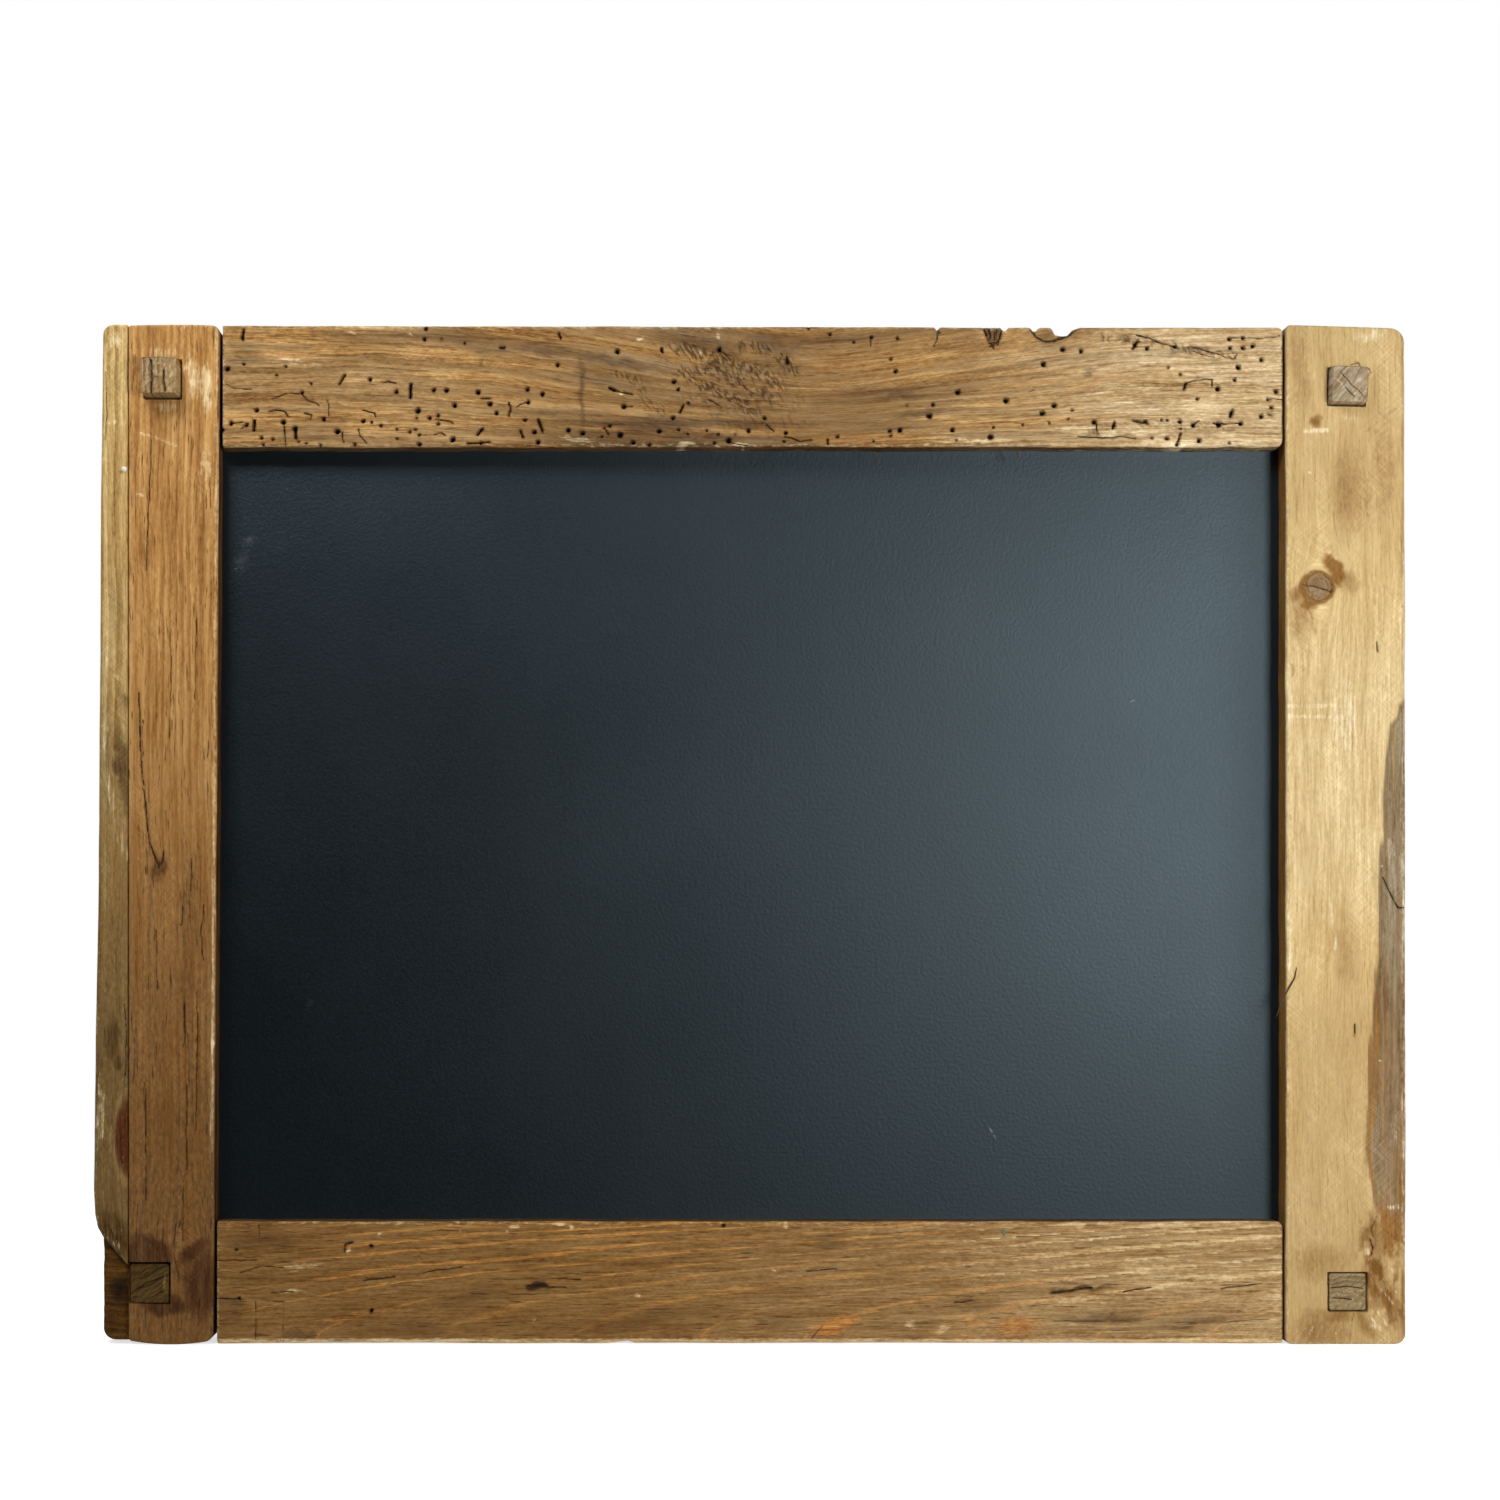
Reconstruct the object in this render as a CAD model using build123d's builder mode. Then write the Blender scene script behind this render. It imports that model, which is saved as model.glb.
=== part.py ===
from build123d import *
import os

# A framed writing board, standing upright. X runs to the right, Y away from the writer, Z up.
# The origin is under the middle of the bottom rail, halfway through the thickness of the stiles.
# All sizes are in millimetres.

# Stiles and rails
frame_width = 640.0
frame_height = 497.0
stile_thickness = 30.0
right_stile_width = 59.0
right_stile_taper = 0.6
right_stile_top_fall = 2.0
left_board_top_width = 44.6
left_board_foot_width = 41.4
top_rail_width = 59.0
top_rail_drop = 0.6
bottom_rail_width = 60.0
rail_thickness = 26.0
rail_setback = 2.0
shoulder_gap = 1.0
arris_radius = 1.2
corner_radius = 2.5
right_top_corner_radius = 7.0
right_foot_corner_radius = 5.0

# Edge strip and foot block that make up the width of the left stile
strip_width = 17.2
strip_top_width = 13.2
strip_waist_width = 14.4
strip_waist_height = 314.0
strip_bulge_height = 78.0
strip_foot_width = 12.6
strip_foot_height = 52.6
strip_tip_height = 39.0
strip_corner_radius = 5.0
strip_arris_radius = 2.0
foot_block_lift = 2.0
foot_block_recess = 2.0
foot_block_corner_radius = 6.0
glue_line = 0.2

# Mortise and tenon corners with square pegs
tenon_thickness = 9.0
tenon_cover = 10.0
tenon_edge_shoulder = 6.0
tenon_rebate_shoulder = 3.0
joint_clearance = 0.2
peg_clearance = 0.15
peg_chamfer = 0.8
peg_top_left_in = 34.0
peg_top_left_down = 27.0
peg_top_left_side = 17.4
peg_top_left_proud = 9.5
peg_top_right_in = 29.4
peg_top_right_down = 30.4
peg_top_right_side = 17.4
peg_top_right_proud = 5.5
peg_bottom_left_in = 27.6
peg_bottom_left_up = 29.8
peg_bottom_left_side = 19.0
peg_bottom_left_sunk = 0.6
peg_bottom_right_in = 28.9
peg_bottom_right_up = 25.8
peg_bottom_right_side = 18.0
peg_bottom_right_sunk = 0.4

# Broken knot in the upper edge of the top rail
knot_bite_x = 153.3
knot_bite_width = 12.6
knot_bite_depth = 4.1

# Painted panel, its rebate and the beads that hold it
panel_recess = 13.0
panel_thickness = 6.0
panel_clearance = 0.5
rebate_width = 9.0
bead_clearance = 0.2
bead_chamfer = 2.0
pin_radius = 0.8
pin_length = 20.0
pin_head_radius = 1.5
pin_head_height = 0.6
pin_clearance = 0.05
pin_end_distance = 40.0
long_bead_pins = 5
short_bead_pins = 4

# Strap hangers with a D-ring, one on the back of each stile
hanger_in = 33.0
hanger_down = 72.0
strap_plate_width = 12.0
strap_plate_length = 40.0
strap_plate_thickness = 1.2
strap_end_radius = 4.5
ring_wire_radius = 1.25
ring_half_width = 10.0
ring_depth = 14.0
ring_corner_radius = 3.0
ring_bore_clearance = 0.1
ring_rest_gap = 0.3
screw_first_drop = 22.0
screw_pitch = 12.0
screw_shank_radius = 1.7
screw_shank_length = 12.0
screw_tip_length = 3.0
screw_tip_radius = 0.3
screw_head_radius = 3.2
screw_head_height = 2.0
screw_head_round = 1.2
screw_slot_width = 0.8
screw_slot_depth = 0.9
screw_clearance = 0.05
screw_hole_clearance = 0.3

# Depths, from the writer's side to the back
stile_front = -stile_thickness / 2
stile_back = stile_thickness / 2
rail_front = stile_front + rail_setback
rail_back = rail_front + rail_thickness
panel_front = stile_front + panel_recess
panel_back = panel_front + panel_thickness
bead_thickness = rail_back - panel_back
pin_depth = panel_back + bead_thickness / 2

# Edges across the board and up it
half_width = frame_width / 2
seam_x = strip_width - half_width
left_inner_top = seam_x + left_board_top_width
left_inner_foot = seam_x + left_board_foot_width
left_inner = min(left_inner_top, left_inner_foot)
right_inner = half_width - right_stile_width
top_rail_top = frame_height - top_rail_drop
top_rail_bottom = top_rail_top - top_rail_width
rebate_left = left_inner - rebate_width
rebate_right = right_inner + rebate_width
rebate_low = bottom_rail_width - rebate_width
rebate_high = top_rail_bottom + rebate_width
rebate_middle_x = (rebate_left + rebate_right) / 2
rebate_middle_z = (rebate_low + rebate_high) / 2

# One entry for each corner: where its peg stands, its size and how far it stands out of the stile
corners = {
    "top_left": {
        "peg_x": peg_top_left_in - half_width,
        "peg_z": frame_height - peg_top_left_down,
        "peg_side": peg_top_left_side,
        "peg_proud": peg_top_left_proud,
    },
    "top_right": {
        "peg_x": half_width - peg_top_right_in,
        "peg_z": frame_height - peg_top_right_down,
        "peg_side": peg_top_right_side,
        "peg_proud": peg_top_right_proud,
    },
    "bottom_left": {
        "peg_x": peg_bottom_left_in - half_width,
        "peg_z": peg_bottom_left_up,
        "peg_side": peg_bottom_left_side,
        "peg_proud": -peg_bottom_left_sunk,
    },
    "bottom_right": {
        "peg_x": half_width - peg_bottom_right_in,
        "peg_z": peg_bottom_right_up,
        "peg_side": peg_bottom_right_side,
        "peg_proud": -peg_bottom_right_sunk,
    },
}

os.makedirs("parts", exist_ok=True)


def facing(depth):
    """Plane parallel to the board at a depth, with X to the right, Z up and extrusion to the writer."""
    return Plane.XZ.offset(-depth)


def finish(piece, name):
    """Label a finished piece with its name and write it out under the same name."""
    piece.part.label = name
    export_step(piece.part, f"parts/{name}.step")


def left_inner_at(height):
    """Inner edge of the left board, which narrows evenly from its top to its foot."""
    return left_inner_foot + (left_inner_top - left_inner_foot) * height / frame_height


def tenon_span(corner):
    """Lower and upper edge of the tenon at a corner, clear of the panel's rebate."""
    if corner.startswith("top"):
        return rebate_high + tenon_rebate_shoulder, top_rail_top - tenon_edge_shoulder
    return tenon_edge_shoulder, rebate_low - tenon_rebate_shoulder


def tenon_block(corner, start, clearance, mode):
    """Tenon from a start line inside the rail to its end in the stile, or the mortise round it."""
    end = half_width - tenon_cover
    if corner.endswith("left"):
        end = -end
    low, high = tenon_span(corner)
    with Locations(((start + end) / 2, 0, (low + high) / 2)):
        Box(
            abs(end - start) + 2 * clearance,
            tenon_thickness + 2 * clearance,
            high - low + 2 * clearance,
            mode=mode,
        )


def cut_peg_hole(corner):
    """Square hole for a peg, right through the piece that is being made."""
    peg = corners[corner]
    side = peg["peg_side"] + 2 * peg_clearance
    with BuildSketch(facing(stile_back)) as hole:
        with Locations((peg["peg_x"], peg["peg_z"])):
            Rectangle(side, side)
    extrude(hole.sketch, amount=stile_thickness, mode=Mode.SUBTRACT)


def cut_joints(stile_corners, inner):
    """Mortises and peg holes in a board of a stile, from the stile's inner edge outwards."""
    for corner in stile_corners:
        tenon_block(corner, inner, joint_clearance, Mode.SUBTRACT)
        cut_peg_hole(corner)


def cut_stile_rebate(wall, opening):
    """Stopped rebate in the back of a stile, between its wall and the opening of the frame."""
    with BuildSketch(facing(stile_back)) as pocket:
        with Locations(((wall + opening) / 2, rebate_middle_z)):
            Rectangle(abs(wall - opening), rebate_high - rebate_low)
    extrude(pocket.sketch, amount=stile_back - panel_front, mode=Mode.SUBTRACT)


def drill_pins(places):
    """Holes for the bead pins in the piece that is being made."""
    with Locations(*places):
        Hole(pin_radius + pin_clearance, depth=pin_length + pin_clearance)


def spread(low, high, count):
    """Evenly spaced places between two ends, each end left clear by the same distance."""
    first = low + pin_end_distance
    step = (high - low - 2 * pin_end_distance) / (count - 1)
    return [first + step * index for index in range(count)]


# Places of the pins: on the inner face of each bead, pointing out of the frame member
long_pin_x = spread(rebate_left, rebate_right, long_bead_pins)
short_pin_z = spread(bottom_rail_width, top_rail_bottom, short_bead_pins)
pins = {
    "top": [Plane((x, pin_depth, top_rail_bottom), z_dir=(0, 0, -1)) for x in long_pin_x],
    "bottom": [Plane((x, pin_depth, bottom_rail_width), z_dir=(0, 0, 1)) for x in long_pin_x],
    "left": [Plane((left_inner, pin_depth, z), z_dir=(1, 0, 0)) for z in short_pin_z],
    "right": [Plane((right_inner, pin_depth, z), z_dir=(-1, 0, 0)) for z in short_pin_z],
}

# Places of the hangers: the ring's pin above, and the two screws of the strap below it
ring_y = stile_back + strap_plate_thickness + ring_rest_gap + ring_wire_radius
ring_z = frame_height - hanger_down
loop_radius = ring_y - stile_back
hanger_x = {"left": hanger_in - half_width, "right": half_width - hanger_in}
screw_z = [ring_z - screw_first_drop, ring_z - screw_first_drop - screw_pitch]
screws = {
    side: [Plane((x, stile_back + strap_plate_thickness, z), z_dir=(0, 1, 0)) for z in screw_z]
    for side, x in hanger_x.items()
}


def drill_screws(places, clearance):
    """Pilot or clearance holes for the hanger screws in the piece that is being made."""
    with Locations(*places):
        Hole(screw_shank_radius + clearance, depth=screw_shank_length + screw_tip_length + clearance)


# Left stile: a board that narrows towards its foot, mortised from its inner edge
with BuildPart() as left_board:
    with BuildSketch(facing(stile_back)) as left_board_outline:
        with BuildLine():
            Polyline(
                (seam_x + glue_line, 0),
                (left_inner_foot, 0),
                (left_inner_top, frame_height),
                (seam_x + glue_line, frame_height),
                close=True,
            )
        make_face()
        fillet(left_board_outline.vertices().sort_by(Axis.X)[-2:], corner_radius)
    extrude(amount=stile_thickness)
    fillet(left_board.faces().sort_by(Axis.Y)[0].edges(), arris_radius)
    cut_joints(["top_left", "bottom_left"], max(left_inner_top, left_inner_foot))
    cut_stile_rebate(rebate_left, max(left_inner_top, left_inner_foot))
    drill_pins(pins["left"])
    drill_screws(screws["left"], screw_clearance)
finish(left_board, "left_stile_board")

# Edge strip glued to the left board: it keeps the swelling of the log and tapers off at its foot
strip_foot = (seam_x - strip_foot_width, strip_foot_height)
strip_tip = (seam_x, strip_tip_height)
with BuildPart() as edge_strip:
    with BuildSketch(facing(stile_back)) as strip_outline:
        with BuildLine():
            inner_edge = Line(strip_tip, (seam_x, frame_height))
            top_edge = Line(inner_edge @ 1, (seam_x - strip_top_width, frame_height))
            upper_edge = Line(top_edge @ 1, (seam_x - strip_waist_width, strip_waist_height))
            swelling = TangentArc(upper_edge @ 1, (-half_width, strip_bulge_height), tangent=upper_edge % 1)
            turn_in = TangentArc(swelling @ 1, strip_foot, tangent=swelling % 1)
            Line(turn_in @ 1, strip_tip)
        make_face()
        fillet(strip_outline.vertices().sort_by_distance(top_edge @ 1)[0], strip_corner_radius)
    extrude(amount=stile_thickness)
    strip_front = edge_strip.faces().sort_by(Axis.Y)[0]
    outer_edges = strip_front.edges().sort_by(Axis.X)[:-1].sort_by(Axis.Z)[1:]
    fillet(outer_edges, strip_arris_radius)
    cut_joints(["top_left", "bottom_left"], seam_x + glue_line)
finish(edge_strip, "left_stile_edge_strip")

# Foot block under the end of the strip, set a little back and a little short of the floor
with BuildPart() as foot_block:
    with BuildSketch(facing(stile_back)) as foot_outline:
        foot_corner = (seam_x - strip_foot_width, foot_block_lift)
        with BuildLine():
            Polyline(
                foot_corner,
                (seam_x, foot_block_lift),
                (seam_x, strip_tip_height - glue_line),
                (seam_x - strip_foot_width, strip_foot_height - glue_line),
                close=True,
            )
        make_face()
        fillet(foot_outline.vertices().sort_by_distance(foot_corner)[0], foot_block_corner_radius)
    extrude(amount=stile_thickness - foot_block_recess)
    fillet(foot_block.faces().sort_by(Axis.Y)[0].edges(), arris_radius)
    cut_joints(["bottom_left"], seam_x + glue_line)
finish(foot_block, "left_stile_foot_block")

# Right stile: one wide board, its top worn down towards the outer edge
with BuildPart() as right_stile:
    with BuildSketch(facing(stile_back)) as right_outline:
        right_top = (half_width - right_stile_taper, frame_height - right_stile_top_fall)
        right_foot = (half_width, 0)
        with BuildLine():
            Polyline((right_inner, 0), right_foot, right_top, (right_inner, frame_height), close=True)
        make_face()
        fillet(right_outline.vertices().sort_by(Axis.X)[:2], corner_radius)
        fillet(right_outline.vertices().sort_by_distance(right_top)[0], right_top_corner_radius)
        fillet(right_outline.vertices().sort_by_distance(right_foot)[0], right_foot_corner_radius)
    extrude(amount=stile_thickness)
    fillet(right_stile.faces().sort_by(Axis.Y)[0].edges(), arris_radius)
    cut_joints(["top_right", "bottom_right"], right_inner)
    cut_stile_rebate(rebate_right, right_inner)
    drill_pins(pins["right"])
    drill_screws(screws["right"], screw_clearance)
finish(right_stile, "right_stile")

# Rails: a tenon at each end, a rebate along the back of the inner edge
rails = {
    "top": {"low": top_rail_bottom, "high": top_rail_top, "rebate": (top_rail_bottom, rebate_high)},
    "bottom": {"low": 0, "high": bottom_rail_width, "rebate": (rebate_low, bottom_rail_width)},
}
for place, edges in rails.items():
    low, high = edges["low"], edges["high"]
    rebate_start, rebate_end = edges["rebate"]
    left_shoulder = max(left_inner_at(low), left_inner_at(high)) + shoulder_gap
    right_shoulder = right_inner - shoulder_gap
    length = right_shoulder - left_shoulder
    middle = (left_shoulder + right_shoulder) / 2
    with BuildPart() as rail:
        with BuildSketch(facing(rail_back)):
            with Locations((middle, (low + high) / 2)):
                Rectangle(length, high - low)
        extrude(amount=rail_thickness)
        fillet(rail.faces().sort_by(Axis.Y)[0].edges(), arris_radius)
        if place == "top":
            with BuildSketch(facing(rail_back)):
                with BuildLine():
                    bite = ThreePointArc(
                        (knot_bite_x - knot_bite_width / 2, high),
                        (knot_bite_x, high - knot_bite_depth),
                        (knot_bite_x + knot_bite_width / 2, high),
                    )
                    Line(bite @ 1, bite @ 0)
                make_face()
            extrude(amount=rail_thickness, mode=Mode.SUBTRACT)
        with BuildSketch(facing(rail_back)):
            with Locations((middle, (rebate_start + rebate_end) / 2)):
                Rectangle(length, rebate_end - rebate_start)
        extrude(amount=rail_back - panel_front, mode=Mode.SUBTRACT)
        tenon_block(f"{place}_left", left_shoulder, 0, Mode.ADD)
        tenon_block(f"{place}_right", right_shoulder, 0, Mode.ADD)
        cut_peg_hole(f"{place}_left")
        cut_peg_hole(f"{place}_right")
        drill_pins(pins[place])
    finish(rail, f"{place}_rail")

# Square pegs driven through the stiles and tenons, flush at the back
for corner, peg in corners.items():
    with BuildPart() as peg_piece:
        with BuildSketch(facing(stile_back)):
            with Locations((peg["peg_x"], peg["peg_z"])):
                Rectangle(peg["peg_side"], peg["peg_side"])
        extrude(amount=stile_thickness + peg["peg_proud"])
        chamfer(peg_piece.faces().sort_by(Axis.Y)[0].edges(), peg_chamfer)
    finish(peg_piece, f"{corner}_peg")

# Painted panel, loose in the rebate by its clearance
panel_width = rebate_right - rebate_left - 2 * panel_clearance
panel_height = rebate_high - rebate_low - 2 * panel_clearance
with BuildPart() as panel:
    with BuildSketch(facing(panel_back)):
        with Locations((rebate_middle_x, rebate_middle_z)):
            Rectangle(panel_width, panel_height)
    extrude(amount=panel_thickness)
finish(panel, "writing_panel")

# Beads behind the panel: the long pair from wall to wall, the short pair between them
bead_width = rebate_width - bead_clearance
long_bead_length = rebate_right - rebate_left - 2 * bead_clearance
short_bead_length = top_rail_bottom - bottom_rail_width - 2 * bead_clearance
beads = {
    "top": (rebate_middle_x, top_rail_bottom + bead_width / 2, long_bead_length, bead_width),
    "bottom": (rebate_middle_x, bottom_rail_width - bead_width / 2, long_bead_length, bead_width),
    "left": (left_inner - bead_width / 2, rebate_middle_z, bead_width, short_bead_length),
    "right": (right_inner + bead_width / 2, rebate_middle_z, bead_width, short_bead_length),
}
for place, (x, z, width, height) in beads.items():
    with BuildPart() as bead:
        with BuildSketch(facing(rail_back)):
            with Locations((x, z)):
                Rectangle(width, height)
        extrude(amount=bead_thickness)
        back_edges = bead.faces().sort_by(Axis.Y)[-1].edges()
        chamfer(back_edges.sort_by_distance((rebate_middle_x, rail_back, rebate_middle_z))[0], bead_chamfer)
        drill_pins(pins[place])
    finish(bead, f"{place}_bead")

# Round-headed pins through the beads into the frame
with BuildPart() as pin:
    Cylinder(pin_radius, pin_length, align=(Align.CENTER, Align.CENTER, Align.MAX))
    Cylinder(pin_head_radius, pin_head_height, align=(Align.CENTER, Align.CENTER, Align.MIN))
with BuildPart() as bead_pins:
    with Locations(*[place for row in pins.values() for place in row]):
        add(pin.part)
finish(bead_pins, "bead_pins")

# Hangers: a steel strap curled round the straight bar of a D-ring
ring_bore = ring_wire_radius + ring_bore_clearance
for side, x in hanger_x.items():
    with BuildPart() as strap:
        with BuildSketch(facing(stile_back + strap_plate_thickness)) as strap_outline:
            with Locations((x, ring_z - strap_plate_length / 2)):
                Rectangle(strap_plate_width, strap_plate_length)
            fillet(strap_outline.vertices().sort_by(Axis.Y)[:2], strap_end_radius)
        extrude(amount=strap_plate_thickness)
        with BuildSketch(Plane.YZ.offset(x - strap_plate_width / 2)):
            with Locations((ring_y, ring_z)):
                Circle(loop_radius)
        extrude(amount=strap_plate_width)
        with Locations(Plane((x + strap_plate_width / 2, ring_y, ring_z), z_dir=(1, 0, 0))):
            Hole(ring_bore, depth=strap_plate_width)
        drill_screws(screws[side], screw_hole_clearance)
    finish(strap, f"{side}_hanger_strap")

    bar_half = ring_half_width - ring_corner_radius
    bow_z = ring_z - ring_depth + ring_half_width
    side_top = ring_z - ring_corner_radius
    with BuildPart() as ring:
        with BuildLine(facing(ring_y)) as ring_path:
            Line((x - bar_half, ring_z), (x + bar_half, ring_z))
            CenterArc((x + bar_half, side_top), ring_corner_radius, 0, 90)
            Line((x + ring_half_width, side_top), (x + ring_half_width, bow_z))
            CenterArc((x, bow_z), ring_half_width, 180, 180)
            Line((x - ring_half_width, bow_z), (x - ring_half_width, side_top))
            CenterArc((x - bar_half, side_top), ring_corner_radius, 90, 90)
        with BuildSketch(Plane((x - bar_half, ring_y, ring_z), z_dir=(1, 0, 0))):
            Circle(ring_wire_radius)
        sweep(path=ring_path.wire())
    finish(ring, f"{side}_hanger_ring")

# Round-headed slotted screws through the straps into the stiles
with BuildPart() as screw:
    with BuildSketch(Plane.XZ):
        with BuildLine():
            Polyline(
                (0, -screw_shank_length - screw_tip_length),
                (screw_tip_radius, -screw_shank_length - screw_tip_length),
                (screw_shank_radius, -screw_shank_length),
                (screw_shank_radius, 0),
                (screw_head_radius, 0),
                (screw_head_radius, screw_head_height - screw_head_round),
            )
            dome = TangentArc(
                (screw_head_radius, screw_head_height - screw_head_round),
                (screw_head_radius - screw_head_round, screw_head_height),
                tangent=(0, 1),
            )
            Polyline(dome @ 1, (0, screw_head_height), (0, -screw_shank_length - screw_tip_length))
        make_face()
    revolve(axis=Axis.Z)
    with Locations((0, 0, screw_head_height - screw_slot_depth / 2)):
        Box(2 * screw_head_radius, screw_slot_width, screw_slot_depth, mode=Mode.SUBTRACT)
with BuildPart() as hanger_screws:
    with Locations(*screws["left"], *screws["right"]):
        add(screw.part)
finish(hanger_screws, "hanger_screws")
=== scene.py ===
import math

import bmesh
import bpy
import numpy as np
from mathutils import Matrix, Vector


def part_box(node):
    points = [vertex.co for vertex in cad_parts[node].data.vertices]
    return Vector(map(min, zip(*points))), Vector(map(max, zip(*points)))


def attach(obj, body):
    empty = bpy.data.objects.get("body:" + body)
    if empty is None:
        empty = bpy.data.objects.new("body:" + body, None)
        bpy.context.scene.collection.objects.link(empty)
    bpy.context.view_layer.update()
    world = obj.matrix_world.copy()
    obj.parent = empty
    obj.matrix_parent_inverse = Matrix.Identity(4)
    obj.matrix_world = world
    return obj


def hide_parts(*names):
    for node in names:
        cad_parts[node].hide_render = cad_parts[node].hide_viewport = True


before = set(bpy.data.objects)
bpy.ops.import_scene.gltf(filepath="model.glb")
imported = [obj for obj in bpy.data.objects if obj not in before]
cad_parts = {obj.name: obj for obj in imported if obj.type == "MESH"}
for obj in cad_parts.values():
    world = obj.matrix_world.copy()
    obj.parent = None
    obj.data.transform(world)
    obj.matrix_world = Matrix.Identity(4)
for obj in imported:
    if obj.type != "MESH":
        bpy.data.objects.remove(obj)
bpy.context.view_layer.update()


# Left stile, main board: a reddish softwood board from an old building, sawn, mortised for both rails
# and worn smooth. It narrows a little towards its foot, and its inner arris is rubbed pale.
# Its back has a rebate for the writing panel that stops short of both ends.
MM = 0.001
EYE = (-63.3, -1115.0, 202.0)
EYE_PIXEL = (620, 930)
PIXEL_MM = 0.4868
STILE_FACE = -15.0
STILE_BACK = 15.0
BED = -2.0
REBATE_LOW = 51.0
REBATE_HIGH = 446.4
SEAM_X = -302.8
SEAM_GAP = 0.24
TOP_Z = 497.0
FAR = 99.0


def colour(red, green, blue):
    """A colour given in 0 to 255 as it looks, made linear for a shader socket."""
    seen_as = np.array([red, green, blue]) / 255
    linear = np.where(seen_as > 0.04045, ((seen_as + 0.055) / 1.055) ** 2.4, seen_as / 12.92)
    return (*linear.tolist(), 1.0)


def seen(px, py, face):
    """The point on a face at this depth that shows at a pixel of the photograph: offsets from the eye's
    line grow in step with the distance from the eye."""
    spread = PIXEL_MM * (face - EYE[1]) / (STILE_FACE - EYE[1])
    return EYE[0] + (px - EYE_PIXEL[0]) * spread, EYE[2] - (py - EYE_PIXEL[1]) * spread


def eased(steps):
    """Smooth step: 0 below 0, 1 above 1, level at both ends."""
    held = np.clip(steps, 0, 1)
    return held * held * (3 - 2 * held)


def lumps(u, v, seed, octaves=3):
    """Seeded lumpy noise in 0 to 1: random heights on a unit lattice, eased between the four corners,
    with each octave twice as fine and half as high."""
    lattice = np.random.default_rng(seed).random((256, 256))
    total = 0
    for octave in range(octaves):
        fine_u, fine_v = u * 2**octave, v * 2**octave + 31 * octave
        row, column = np.floor(fine_u).astype(int), np.floor(fine_v).astype(int)
        du, dv = eased(fine_u - row), eased(fine_v - column)
        row, column, below, beside = row % 256, column % 256, (row + 1) % 256, (column + 1) % 256
        low = lattice[row, column] * (1 - dv) + lattice[row, beside] * dv
        high = lattice[below, column] * (1 - dv) + lattice[below, beside] * dv
        total = total + (low * (1 - du) + high * du) * 0.5**octave
    return total / (2 - 0.5 ** (octaves - 1))


def rounded(distance, radius):
    """How far a quarter round of this radius falls away at a distance in from its edge."""
    reach = np.clip(radius - distance, 0, radius)
    return radius - np.sqrt(np.maximum(radius**2 - reach**2, 0))


END_STEPS = np.array([0, 0.06, 0.22, 0.5, 0.9, 1.4, 2.1, 3.0, 4.1, 5.4, 7.0])
END_RUN = 8.0
STOP_GAP = 0.03


def stations(low, high, step, stops=()):
    """Places along a board: even steps, closer towards each end, and a close pair where a rebate stops."""
    count = int((high - low - 2 * END_RUN) / step) + 1
    even = np.linspace(low + END_RUN, high - END_RUN, count)
    pairs = [place + offset for place in stops for offset in (-STOP_GAP, STOP_GAP)]
    return np.unique(np.concatenate([low + END_STEPS, even, high - END_STEPS, pairs]))


BACK_ARRIS = 1.2
ARRIS_POINTS = 5
ROUND_SHARE = 0.3


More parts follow.
